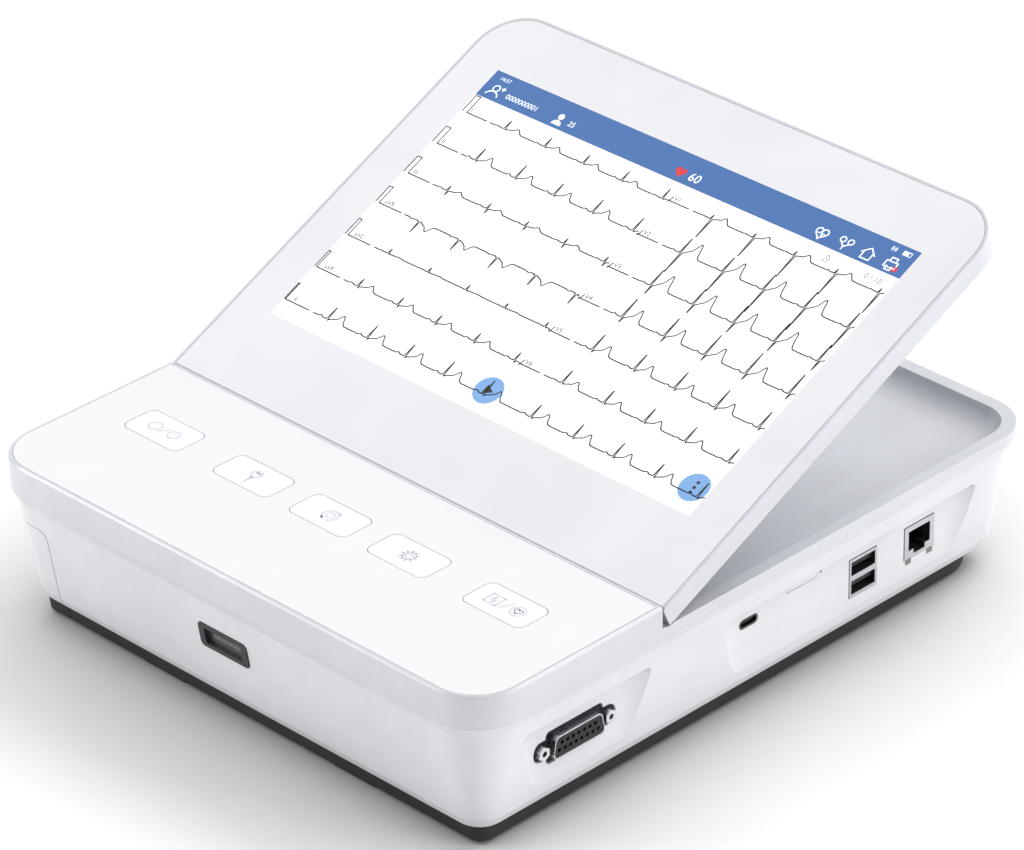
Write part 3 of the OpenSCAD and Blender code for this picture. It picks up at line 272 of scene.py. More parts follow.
CLEAR_GREY = rubbery("mat_silicone", srgb(176, 178, 182), 0.5)
RUBBER = rubbery("roller_rubber", srgb(30, 30, 31), 0.7)
TREAD = rubbery("foot_rubber", srgb(26, 26, 27), 0.8, tread=0.25)
STEEL = metal("plated_steel", srgb(196, 197, 200), 0.3)
SHAFT = metal("ground_steel", srgb(206, 207, 210), 0.2, (18.0, 0.3, 18.0))
ZINC = metal("zinc_screw", srgb(188, 190, 192), 0.33, (6.0, 6.0, 6.0))
ALLOY = metal("extruded_alloy", srgb(206, 208, 212), 0.34, (14.0, 0.12, 14.0))
DARK_STEEL = metal("blued_steel", srgb(96, 98, 104), 0.4, (6.0, 6.0, 6.0))
NICKEL = metal("nickel_brass", srgb(206, 196, 166), 0.22, (14.0, 0.3, 14.0))
BRIGHT_NUT = metal("bright_nut", srgb(232, 233, 235), 0.22, (6.0, 6.0, 6.0), stain=0.1)
GOLD = metal("gold_contact", srgb(226, 190, 108), 0.22, (2.0, 8.0, 8.0))

side_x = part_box("usb_a_shell")[1][0] / MM
MOUTH = mouth("socket_shell", srgb(206, 208, 212), srgb(34, 35, 38), side_x - 0.35)


# ---------------------------------------------------------------- special surfaces


def paper_material():
    """Folded chart paper: a pale red millimetre grid on top, stacked sheet edges at the sides."""
    g = Graph("chart_paper_pack")
    top = g.op("GREATER_THAN", g.add("SeparateXYZ", Vector=g.geometry.outputs["Normal"]).outputs[2], 0.7)
    small = g.op("MAXIMUM", g.stripes(g.x, 1.0, 0.12), g.stripes(g.y, 1.0, 0.12))
    large = g.op("MAXIMUM", g.stripes(g.x, 5.0, 0.3), g.stripes(g.y, 5.0, 0.3))
    lines = g.op("ADD", g.op("MULTIPLY", small, 0.35), g.op("MULTIPLY", large, 0.6), clamp=True)
    sheet = g.mix(lines, srgb(250, 238, 232), srgb(226, 128, 122))
    layers = g.add("TexWave", wave_type="BANDS", bands_direction="Z", Vector=g.mm, Scale=0.9, Distortion=1.5,
                   Detail=3.0).outputs["Fac"]
    side = g.mix(g.remap(layers, 0.2, 0.8), srgb(214, 196, 188), srgb(246, 238, 232))
    fibre = g.noise(3.0, 4.0)
    height = g.op("ADD", g.op("MULTIPLY", fibre, 0.3), g.op("MULTIPLY", g.op("SUBTRACT", 1.0, top), layers))
    return g.close(Base_Color=g.mix(top, side, sheet), Roughness=g.remap(fibre, 0.3, 0.7, 0.55, 0.7),
                   Normal=g.bump(height, 0.12))


def battery_material():
    g = Graph("cell_wrap_blue")
    wrinkle = g.noise(0.4, 4.0, (1.0, 0.25, 1.0))
    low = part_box("battery_pack")[0]
    ends = g.op("LESS_THAN", g.y, low[1] / MM + 0.3)
    band = g.stripes(g.y, 65.5, 1.2)
    wrap = g.mix(g.remap(wrinkle, 0.4, 0.6), srgb(32, 84, 150), srgb(46, 104, 176))
    wrap = g.mix(band, wrap, srgb(220, 222, 226))
    return g.close(Base_Color=g.mix(ends, wrap, srgb(190, 190, 188)),
                   Roughness=g.remap(wrinkle, 0.3, 0.7, 0.22, 0.4),
                   Normal=g.bump(wrinkle, 0.25), Coat_Weight=0.4)


def smoky_material():
    """Dark clear window: reads as smoky grey with a glossy face."""
    g = Graph("smoky_window")
    haze = g.noise(0.4, 3.0)
    low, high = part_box("scanner_window")
    sheen_ramp = g.remap(g.x, low[0] / MM, high[0] / MM)
    # painted sheen: the window is drawn lighter towards its high-x end
    base = g.mix(g.op("MULTIPLY", sheen_ramp, 0.6), srgb(84, 86, 90), srgb(112, 114, 118))
    base = g.mix(g.remap(haze, 0.4, 0.7, 0.0, 0.2), base, srgb(70, 72, 76))
    return g.close(Base_Color=base, Roughness=g.remap(haze, 0.3, 0.7, 0.08, 0.14), Coat_Weight=0.7,
                   Transmission_Weight=0.25, IOR=1.49)


def strip_material():
    """Print head strip: pale ceramic with a dark glazed heating line and driver chips."""
    g = Graph("head_ceramic")
    low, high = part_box("head_strip")
    middle = (low[0] + high[0]) / 2 / MM
    line = g.op("LESS_THAN", g.op("ABSOLUTE", g.op("SUBTRACT", g.x, middle)), 0.6)
    fans = g.stripes(g.y, 0.8, 0.3)
    base = g.mix(g.op("MULTIPLY", fans, 0.3), srgb(214, 210, 196), srgb(150, 140, 110))
    base = g.mix(line, base, srgb(60, 58, 56))
    cloud = g.noise(0.5, 3.0)
    return g.close(Base_Color=base, Roughness=g.remap(cloud, 0.3, 0.7, 0.12, 0.3), Normal=g.bump(fans, 0.01))


def lcd_material():
    """Back and sides of the panel: pressed tin tray with a foil seam."""
    g = Graph("panel_tray")
    normal, _ = g.rounded(0.15)
    brush = g.noise(1.0, 3.0, (0.1, 8.0, 8.0))
    ribs = g.stripes(g.y, 22.0, 1.4)
    base = g.mix(g.remap(brush, 0.3, 0.7), srgb(180, 182, 186), srgb(204, 206, 210))
    return g.close(Base_Color=base, Metallic=1.0, Roughness=g.remap(brush, 0.3, 0.7, 0.3, 0.45),
                   Normal=g.bump(ribs, 0.1, normal))


def lead_shell_material():
    """Formed steel shell whose flange behind the D carries painted shade, darker than the bright rim."""
    g = Graph("d_shell")
    normal, _ = g.rounded(0.2)
    lines = g.noise(1.0, 4.0, (0.5, 9.0, 9.0))
    flange = g.op("LESS_THAN", g.x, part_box("lead_shell")[1][0] / MM - 3.0)
    rim = g.mix(g.remap(lines, 0.3, 0.7), srgb(196, 198, 202), srgb(222, 223, 226))
    # painted shade on the flange behind the D; the rim keeps the plated colour
    stain_and_shade = g.mix(g.remap(g.noise(0.5, 3.0), 0.35, 0.65), srgb(36, 38, 42), srgb(56, 58, 62))
    return g.close(Base_Color=g.mix(flange, rim, stain_and_shade), Metallic=1.0,
                   Roughness=g.op("ADD", g.remap(lines, 0.3, 0.7, 0.2, 0.34), g.op("MULTIPLY", flange, 0.12)),
                   Normal=g.bump(lines, 0.004, normal))


def inlet_material():
    """Mains inlet: black body with nickel blades standing in the mouth."""
    g = Graph("inlet_black")
    normal, _ = g.rounded(0.3)
    low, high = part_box("mains_inlet")
    cx, cz = (low[0] + high[0]) / 2 / MM, (low[2] + high[2]) / 2 / MM
    depth = g.op("LESS_THAN", g.y, high[1] / MM - 3.2)
    near = 0.0
    for dx, dz in ((-7, 2), (0, -2), (7, 2)):
        inside = g.op("MULTIPLY", g.op("LESS_THAN", g.op("ABSOLUTE", g.op("SUBTRACT", g.x, cx + dx)), 1.1),
                      g.op("LESS_THAN", g.op("ABSOLUTE", g.op("SUBTRACT", g.z, cz + dz)), 2.2))
        near = g.op("MAXIMUM", near, inside)
    rear = g.op("GREATER_THAN", g.y, high[1] / MM - 16.0)
    blade = g.op("MULTIPLY", g.op("MULTIPLY", near, depth), rear)
    grain = g.noise(2.5, 4.0)
    base = g.mix(blade, srgb(30, 30, 32), srgb(206, 206, 208))
    return g.close(Base_Color=base, Metallic=blade, Roughness=g.remap(grain, 0.3, 0.7, 0.34, 0.46),
                   Normal=g.bump(grain, 0.015, normal))


def glass_material(plane, picture):
    """Cover glass printed white behind, with the lit white picture field showing through its window."""
    g = Graph("cover_glass_print")
    normal, edges = g.rounded(0.2)
    x0, x1, y0, y1 = picture
    rise = g.op("ADD", g.op("MULTIPLY", g.y, plane.v.y), g.op("MULTIPLY", g.z, plane.v.z))
    start = plane.o.dot(plane.v) / MM
    up = g.op("SUBTRACT", rise, start)
    wide = g.op("LESS_THAN", g.op("ABSOLUTE", g.op("SUBTRACT", g.x, (x0 + x1) / 2)), (x1 - x0) / 2)
    tall = g.op("LESS_THAN", g.op("ABSOLUTE", g.op("SUBTRACT", up, (y0 + y1) / 2)), (y1 - y0) / 2)
    top = g.op("GREATER_THAN", g.add("SeparateXYZ", Vector=g.geometry.outputs["Normal"]).outputs[2], 0.5)
    field = g.op("MULTIPLY", g.op("MULTIPLY", wide, tall), top)
    cloud = g.noise(0.02, 2.0)
    bezel = g.mix(g.remap(cloud, 0.35, 0.65), srgb(233, 234, 238), srgb(238, 239, 242))
    bezel = g.mix(g.op("MULTIPLY", edges, 0.5), bezel, srgb(214, 220, 224))
    dots = g.op("MAXIMUM", g.stripes(g.x, 1.0, 0.12), g.stripes(up, 1.0, 0.12))
    bold = g.op("MAXIMUM", g.stripes(g.x, 5.0, 0.2), g.stripes(up, 5.0, 0.2))
    grid = g.op("ADD", g.op("MULTIPLY", dots, 0.25), g.op("MULTIPLY", bold, 0.5), clamp=True)
    lit = g.mix(grid, srgb(251, 251, 253), srgb(236, 234, 238))
    return g.close(Base_Color=g.mix(field, bezel, g.mix(0.35, lit, srgb(120, 122, 126))),
                   Roughness=g.remap(cloud, 0.3, 0.7, 0.1, 0.14), Emission_Color=lit,
                   Emission_Strength=g.op("MULTIPLY", field, 0.55), Coat_Weight=0.6, Coat_Roughness=0.03,
                   Normal=normal)


# ---------------------------------------------------------------- flat marks


class Plane:
    """A flat place: millimetres along u and v from o, raised along n."""

    def __init__(self, o, u, v):
        self.o, self.u, self.v = Vector(o), Vector(u), Vector(v)
        self.n = self.u.cross(self.v)

    def at(self, x, y, up=0.0):
        return self.o + (self.u * x + self.v * y + self.n * up) * MM


def make_piece(name, verts, faces, material, body, smooth=False):
    mesh = bpy.data.meshes.new(name)
    mesh.from_pydata([tuple(v) for v in verts], [], faces)
    mesh.validate()
    if smooth:
        mesh.shade_smooth()
    mesh.materials.append(material)
    obj = bpy.data.objects.new(name, mesh)
    bpy.context.scene.collection.objects.link(obj)
    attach(obj, body)
    return obj


class Marks:
    """Thin marks gathered on a plane, raised a hair above it."""

    def __init__(self, plane, up):
        self.plane, self.up, self.verts, self.faces = plane, up, [], []

    def poly(self, points):
        start = len(self.verts)
        self.verts += [self.plane.at(x, y, self.up) for x, y in points]
        self.faces.append(tuple(range(start, start + len(points))))

    def line(self, points, width, closed=False):
        points = list(points) + ([points[0]] if closed else [])
        for (x0, y0), (x1, y1) in zip(points, points[1:]):
            length = math.hypot(x1 - x0, y1 - y0)
            if length < 1e-6:
                continue
            tx, ty = (x1 - x0) / length * width / 2, (y1 - y0) / length * width / 2
            e = 0.6
            self.poly([(x0 - tx * e + ty, y0 - ty * e - tx), (x1 + tx * e + ty, y1 + ty * e - tx),
                       (x1 + tx * e - ty, y1 + ty * e + tx), (x0 - tx * e - ty, y0 - ty * e + tx)])

    def disc(self, x, y, r):
        self.poly(arc(x, y, r, 0, 360, 28)[:-1])

    def ring(self, x, y, r, width, a0=0, a1=360):
        inner, outer = arc(x, y, r - width / 2, a0, a1), arc(x, y, r + width / 2, a0, a1)
        for i in range(len(inner) - 1):
            self.poly([inner[i], outer[i], outer[i + 1], inner[i + 1]])

    def text(self, words, x, y, size, align="LEFT"):
        curve = bpy.data.curves.new("words", "FONT")
        curve.body, curve.size, curve.align_x, curve.align_y = words, size, align, "CENTER"
        curve.resolution_u = 3
        holder = bpy.data.objects.new("words", curve)
        bpy.context.scene.collection.objects.link(holder)
        bpy.context.view_layer.update()
        mesh = bpy.data.meshes.new_from_object(holder)
        start = len(self.verts)
        self.verts += [self.plane.at(x + v.co.x, y + v.co.y, self.up) for v in mesh.vertices]
        self.faces += [tuple(start + i for i in p.vertices) for p in mesh.polygons]
        bpy.data.objects.remove(holder)
        bpy.data.meshes.remove(mesh)
        bpy.data.curves.remove(curve)

    def piece(self, name, material, body, slot):
        return make_piece(name, self.verts, self.faces, material, body)


def arc(x, y, r, a0, a1, steps=24):
    return [(x + r * math.cos(math.radians(a0 + (a1 - a0) * i / steps)),
             y + r * math.sin(math.radians(a0 + (a1 - a0) * i / steps))) for i in range(steps + 1)]


def heart(x, y, size):
    points = []
    for i in range(36):
        t = TAU * i / 36
        px = 16 * math.sin(t) ** 3
        py = 13 * math.cos(t) - 5 * math.cos(2 * t) - 2 * math.cos(3 * t) - math.cos(4 * t)
        points.append((x + px * size / 34, y + py * size / 34))
    return points


# ---------------------------------------------------------------- the display


def display_plane():
    """Face of the cover glass: origin at the middle of its lower edge, v up the picture."""
    mesh = NODES["display_glass"].data
    normal = Vector((0, 0, 0))
    for p in mesh.polygons:
        if p.normal.z > 0.5:
            normal += p.normal * p.area
    normal.normalize()
    u = Vector((1, 0, 0))
    v = normal.cross(u)
    face = max(vert.co.dot(normal) for vert in mesh.vertices)
    low = min(vert.co.dot(v) for vert in mesh.vertices)
    return Plane(normal * face + v * low, u, v)


face = display_plane()
PICTURE_W, PICTURE_H, PICTURE_UP = 217.0, 135.6, 36.0
PICTURE = (-PICTURE_W / 2, PICTURE_W / 2, PICTURE_UP, PICTURE_UP + PICTURE_H)
# origin at the top left corner; v is negative down
picture = Plane(face.at(PICTURE[0], PICTURE[3]), face.u, face.v)

INK_BLACK = ink("trace_black", srgb(22, 22, 26))
HEADER_BLUE = ink("header_blue", srgb(58, 108, 174), 0.08)
ICON_WHITE = ink("icon_white", srgb(238, 243, 250), 0.6)
BUTTON_BLUE = ink("button_blue", srgb(122, 168, 222), 0.15)
HEART_RED = ink("heart_red", srgb(206, 40, 52), 0.3)
FAINT_GREY = ink("faint_grey", srgb(128, 134, 150), 0.2)

# lead: label, R, S, T height, P height, all in millimetres of screen
LEFT = [("I", 22.6, 5.0, -0.3, 2.1, 0.3), ("II", 40.1, 7.0, -0.6, 3.6, 0.6),
        ("III", 57.0, 2.7, -2.2, 1.6, 0.3),
        ("aVR", 73.8, -0.2, -6.0, -3.0, -0.4), ("aVL", 91.8, 2.5, -0.3, 0.3, 0.1),
        ("aVF", 109.7, 4.3, -1.0, 2.6, 0.5),
        ("II", 127.6, 7.0, -0.6, 4.0, 0.6)]
RIGHT = [("V1", 22.2, 2.2, -11.5, 2.6, 0.2), ("V2", 40.5, 8.5, -12.0, 6.7, 0.4),
         ("V3", 58.0, 9.5, -5.0, 7.2, 0.4),
         ("V4", 74.9, 11.0, -2.8, 5.8, 0.5), ("V5", 92.3, 9.0, -1.0, 4.4, 0.5), ("V6", 109.8, 7.4, -0.4,
                                                                                 3.2, 0.4)]
LEFT_BEATS = [3.2, 23.6, 45.0, 65.3, 85.6, 106.6]
RIGHT_BEATS = [111.0, 131.1, 152.4, 172.6, 192.8, 214.0]
TRACE_W = 0.5


def beat(t, r, s, tw, pw):
    """Height of one heartbeat at t millimetres after its R spike."""
    h = pw * math.exp(-((t + 3.6) / 0.8) ** 2)
    h += tw * (math.exp(-((t - 6.0) / 1.5) ** 2) + 0.28 * math.exp(-((t - 3.4) / 1.8) ** 2))
    h += r * max(0.0, 1 - abs(t) / 0.42)
    h += s * max(0.0, 1 - abs(t - 0.55) / 0.4)
    return h


def trace(x0, x1, base, beats, shape, skip):
    """Polylines of one lead between x0 and x1, broken over the sweep gap."""
    lines, points = [], []
    x = x0
    while x <= x1:
        near = any(-0.9 < x - b < 1.4 for b in beats)
        wobble = 0.05 * math.sin(x * 5.1 + base) + 0.04 * math.sin(x * 11.3 + base * 3)
        height = sum(beat(x - b, *shape) for b in beats) + wobble
        if skip[0] < x < skip[1]:
            if points:
                lines.append(points)
            points = []
        else:
            points.append((x, -base + height))
        x += 0.14 if near else 0.45
    return lines + [points]


def build_screen():
    bar = Marks(picture, 0.02)
    bar.poly([(0, 0), (0, -13.6), (PICTURE_W, -13.6), (PICTURE_W, 0)])
    bar.piece("screen_header", HEADER_BLUE, "display", "lcd")

    buttons = Marks(picture, 0.03)
    buttons.disc(107.2, -125.3, 6.3)
    buttons.disc(210.2, -124.6, 6.3)
    buttons.piece("screen_buttons", BUTTON_BLUE, "display", "lcd")

    dark = Marks(picture, 0.05)
    for i, (label, base, *shape) in enumerate(LEFT):
        right = 3.3 - 0.42 * i
        stop = PICTURE_W if i == 6 else 109.0
        beats = LEFT_BEATS + (RIGHT_BEATS[1:] if i == 6 else [])
        for points in trace(right, stop, base, beats[1:], shape, (14.2, 15.7)):
            dark.line(points, TRACE_W)
        left = max(0.2, right - 2.5)
        dark.line([(left, -base), (left, 8.5 - base), (right, 8.5 - base), (right, -base)], TRACE_W)
        dark.text(label, 4.0, 1.7 - base, 3.0)
    for label, base, *shape in RIGHT:
        for points in trace(109.0, PICTURE_W - 0.2, base, RIGHT_BEATS[1:], shape, (120.2, 121.8)):
            dark.line(points, TRACE_W)
        dark.line([(109.6, -base - 0.6), (110.4, 2.2 - base)], TRACE_W)
        dark.text(label, 111.2, 1.7 - base, 3.0)
    dark.poly([(105.4, -123.0), (105.4, -127.6), (109.6, -125.3)])
    for dy in (-2.4, 0, 2.4):
        dark.disc(210.2, -124.6 + dy, 0.72)
    dark.piece("screen_traces", INK_BLACK, "display", "lcd")

    white = Marks(picture, 0.05)
    thin = 0.5
    white.ring(6.2, -7.8, 1.5, thin)
    white.line(arc(6.2, -12.6, 3.2, 20, 160), thin)
    white.line([(8.6, -7.0), (10.4, -7.0)], thin)
    white.line([(9.5, -6.1), (9.5, -7.9)], thin)
    white.text("0000000001", 12.6, -9.3, 3.4)
    white.disc(41.2, -7.9, 1.4)
    white.poly(arc(41.2, -12.0, 2.3, 0, 180, 16))
    white.text("25", 46.0, -9.3, 3.4)
    white.text("14:57", 4.0, -2.9, 2.5)
    white.text("60", 109.2, -9.4, 5.6)
    white.line(heart(175.5, -9.0, 6.0), thin, closed=True)
    white.line([(173.6, -9.2), (174.8, -9.2), (175.4, -7.8), (176.0, -10.4), (176.5, -9.2),
                (177.4, -9.2)], 0.35)
    for dx in (-1.9, 1.9):
        white.ring(187.1 + dx, -7.7, 1.2, thin)
    white.line([(185.4, -9.0), (187.1, -10.6), (188.8, -9.0)], thin)
    white.line([(187.1, -10.6), (187.1, -12.0)], thin)
    white.line([(195.2, -9.2), (198.3, -6.4), (201.4, -9.2)], thin)
    white.line([(196.2, -8.6), (196.2, -11.8), (200.4, -11.8), (200.4, -8.6)], thin)
    white.line([(207.0, -8.2), (212.2, -8.2), (212.2, -11.0), (207.0, -11.0)], thin, closed=True)
    white.line([(208.2, -8.2), (208.2, -6.4), (211.0, -6.4), (211.0, -8.2)], thin)
    white.line([(208.4, -10.4), (208.4, -12.2), (210.8, -12.2), (210.8, -10.4)], thin)
    for r in (0.5, 1.1):
        white.line(arc(206.2, -2.9, r, -60, 60, 8), 0.28)
        white.line(arc(206.2, -2.9, r, 120, 240, 8), 0.28)
    white.line([(210.6, -2.0), (214.2, -2.0), (214.2, -3.8), (210.6, -3.8)], 0.3, closed=True)
    white.poly([(210.9, -2.3), (213.0, -2.3), (213.0, -3.5), (210.9, -3.5)])
    white.piece("screen_icons", ICON_WHITE, "display", "lcd")

    red = Marks(picture, 0.05)
    red.poly(heart(104.5, -9.0, 5.6))
    red.disc(212.4, -10.9, 1.3)
    red.piece("screen_red", HEART_RED, "display", "lcd")

    grey = Marks(picture, 0.05)
    grey.text("0 / 10", 203.6, -17.9, 3.6)
    grey.ring(185.0, -17.9, 1.5, 0.35, -150, 110)
    grey.line([(185.0, -17.9), (185.0, -16.9)], 0.35)
    grey.line([(185.0, -17.9), (185.8, -18.3)], 0.35)
    grey.piece("screen_grey", FAINT_GREY, "display", "lcd")


# ---------------------------------------------------------------- key symbols

KEY_PRINT = ink("key_print", srgb(196, 199, 207), 0.0, 0.3)
PRINT_W = 0.5


def key_marks(node):
    low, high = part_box(node)
    plane = Plane(((low[0] + high[0]) / 2, (low[1] + high[1]) / 2, high[2]), (1, 0, 0), (0, 1, 0))
    return Marks(plane, 0.02)


def build_keys():
    m = key_marks("key_power")
    m.ring(-5.0, 0, 2.7, PRINT_W)
    m.line([(-1.6, -2.3), (1.6, 2.1)], PRINT_W)
    m.ring(5.0, 0, 2.5, PRINT_W, 115, 425)
    m.line([(5.0, 1.0), (5.0, 3.2)], PRINT_W)
    m.piece("key_power_print", KEY_PRINT, "key_power_body", "deck_panel")

    m = key_marks("key_leads")
    m.ring(0, 1.7, 2.2, PRINT_W)
    m.poly([(-0.9, -0.6), (0.9, -0.6), (0.9, -1.6), (-0.9, -1.6)])
    m.line([(0, -1.6), (0, -5.0)], 0.8)
    for side in (-1, 1):
        m.line(arc(side * 0.4, 1.7, 1.0, 90 - side * 60, 90 + side * 60, 8), 0.35)
    m.piece("key_leads_print", KEY_PRINT, "key_leads_body", "deck_panel")

    m = key_marks("key_repeat")
    m.ring(0, 0, 3.3, PRINT_W, 60, 250)
    m.ring(0, 0, 3.3, PRINT_W, 280, 400)
    m.ring(0.2, 0, 1.6, PRINT_W, 180, 380)
    m.ring(-0.2, 0.2, 1.6, PRINT_W, 20, 150)
    m.poly([(1.7, 3.9), (3.5, 2.5), (1.4, 1.9)])
    m.poly([(-1.2, -3.9), (-2.9, -2.2), (-0.8, -2.0)])
    m.piece("key_repeat_print", KEY_PRINT, "key_repeat_body", "deck_panel")

    m = key_marks("key_setup")
    m.ring(0, 0, 1.5, PRINT_W)
    m.ring(0, 0, 2.6, 0.35)
    for i in range(10):
        a = TAU * i / 10
        m.line([(2.6 * math.cos(a), 2.6 * math.sin(a)), (3.7 * math.cos(a), 3.7 * math.sin(a))], 0.7)
    m.piece("key_setup_print", KEY_PRINT, "key_setup_body", "deck_panel")

    m = key_marks("key_record")
    m.line([(-8.4, 2.9), (-2.6, 2.9), (-2.6, -2.9), (-8.4, -2.9)], PRINT_W, closed=True)
    m.line([(-7.2, -0.4), (-6.4, -0.4), (-5.8, 1.6), (-5.1, -1.8), (-4.6, -0.4), (-3.8, -0.4)], 0.4)
    m.line([(-0.9, -2.6), (1.9, 2.6)], 0.4)
    m.ring(6.2, 0, 3.0, 0.4)
    m.line(heart(6.2, 0.1, 3.8), 0.4, closed=True)
    m.piece("key_record_print", KEY_PRINT, "key_record_body", "deck_panel")


# ---------------------------------------------------------------- fasteners and small metal


def frame_about(axis):
    """Two directions across an axis."""
    axis = Vector(axis).normalized()
    side = axis.orthogonal().normalized()
    return axis, side, axis.cross(side)


def cross_outline(r):
    a, b = 0.2 * r, 0.62 * r
    return [(b, -a), (b, a), (a, a), (a, b), (-a, b), (-a, a), (-b, a), (-b, -a), (-a, -a), (-a, -b),
            (a, -b), (a, -a)]


class Screws:
    """Pan heads with a cross recess, and their shanks."""

    SEGMENTS = 28

    def __init__(self):
        self.verts, self.faces = [], []

    def ring(self, centre, s, t, r):
        start = len(self.verts)
        self.verts += [centre + s * r * math.cos(TAU * i / self.SEGMENTS) + t * r * math.sin(TAU * i / self.SEGMENTS)
                       for i in range(self.SEGMENTS)]
        return list(range(start, start + self.SEGMENTS))

    def skin(self, a, b):
        n = len(a)
        self.faces += [(a[i], a[(i + 1) % n], b[(i + 1) % n], b[i]) for i in range(n)]

    def add(self, top, axis, r, h, shank_r, shank_l):
        """top is the middle of the head's outer face; axis points out of the head; metres."""
        axis, s, t = frame_about(axis)
        top = Vector(top)
        crown = self.ring(top, s, t, r * 0.78)
        rim = self.ring(top - axis * h * 0.35, s, t, r)
        seat = self.ring(top - axis * h, s, t, r)
        neck = self.ring(top - axis * h, s, t, shank_r)
        tip = self.ring(top - axis * (h + shank_l), s, t, shank_r)
        for a, b in ((crown, rim), (rim, seat), (seat, neck), (neck, tip)):
            self.skin(a, b)
        self.faces.append(tuple(tip))
        start = len(self.verts)
        outline = cross_outline(r)
        self.verts += [top + s * x + t * y for x, y in outline]
        self.verts += [top - axis * h * 0.7 + (s * x + t * y) * 0.75 for x, y in outline]
        lip = list(range(start, start + 12))
        self.skin(lip, [i + 12 for i in lip])
        self.faces.append(tuple(i + 12 for i in lip))
        flat = [[(self.verts[i] - top) for i in crown], [(self.verts[i] - top) for i in reversed(lip)]]
        flat = [[Vector((p.dot(s), p.dot(t), 0)) for p in loop] for loop in flat]
        order = crown + list(reversed(lip))
        self.faces += [tuple(order[i] for i in tri) for tri in tessellate_polygon(flat)]

    def piece(self, name, body, slot, node):
        obj = make_piece(name, self.verts, self.faces, ZINC, body)
        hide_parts(node)
        return obj


def islands(node):
    """Points of a node's separate solids, one list per solid, in metres."""
    mesh = NODES[node].data
    parent = {}

    def root(a):
        while parent[a] != a:
            parent[a] = parent[parent[a]]
            a = parent[a]
        return a

    key = [tuple(round(c * 1e6) for c in v.co) for v in mesh.vertices]
    for k in key:
        parent.setdefault(k, k)
    for e in mesh.edges:
        a, b = root(key[e.vertices[0]]), root(key[e.vertices[1]])
        if a != b:
            parent[a] = b
    groups = {}
    for v, k in zip(mesh.vertices, key):
        groups.setdefault(root(k), []).append(v.co)
    return [[v.copy() for v in g] for g in groups.values()]


def extent(points, axis):
    values = [p.dot(axis) for p in points]
    return min(values), max(values)


def dress_screws(node, name, body, out_axis):
    """Redraws each screw of a CAD node, which is a head and a shank about out_axis, with a cross recess."""
    axis, s, t = frame_about(out_axis)
    screws = Screws()
    for points in islands(node):
        low, high = extent(points, axis)
        s0, s1 = extent(points, s)
        t0, t1 = extent(points, t)
        middle = s * (s0 + s1) / 2 + t * (t0 + t1) / 2
        head_r = (s1 - s0) / 2
        radii = sorted({round((p - middle - axis * p.dot(axis)).length, 6) for p in points})
        shank_r = radii[0]
        wide = [p.dot(axis) for p in points if abs((p - middle - axis * p.dot(axis)).length - head_r) < 2e-5]
        screws.add(middle + axis * high, axis, head_r, max(wide) - min(wide), shank_r, min(wide) - low)
    return screws.piece(name, body, "screw_steel", node)


def extrude_outline(outline, offset, depth, to_world):
    """Closed solid from a 2D outline; offset and depth run along the third axis."""
    n = len(outline)
    verts = [to_world(x, y, offset) for x, y in outline] + [to_world(x, y, offset + depth) for x,
                                                            y in outline]
    faces = [tuple(range(n - 1, -1, -1)), tuple(range(n, 2 * n))]
    faces += [(i, (i + 1) % n, n + (i + 1) % n, n + i) for i in range(n)]
    return verts, faces


def join(parts):
    verts, faces = [], []
    for v, f in parts:
        faces += [tuple(len(verts) + i for i in face_) for face_ in f]
        verts += v
    return verts, faces


def build_tear_bar():
    """Toothed steel strip in the paper slot."""
    low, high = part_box("tear_bar")
    pitch, depth = 1.6 * MM, 0.8 * MM
    count = int((high[1] - low[1]) / pitch)
    teeth = []
    for i in range(count):
        y = low[1] + i * pitch
        teeth += [(low[0] + depth, y), (low[0], y + pitch / 2)]
    outline = teeth + [(low[0] + depth, low[1] + count * pitch), (high[0], low[1] + count * pitch),
                       (high[0], low[1])]
    verts, faces = extrude_outline(outline, low[2], high[2] - low[2], lambda x, y, z: Vector((x, y, z)))
    bar = make_piece("tear_bar_teeth", verts, faces, STEEL, "case")
    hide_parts("tear_bar")


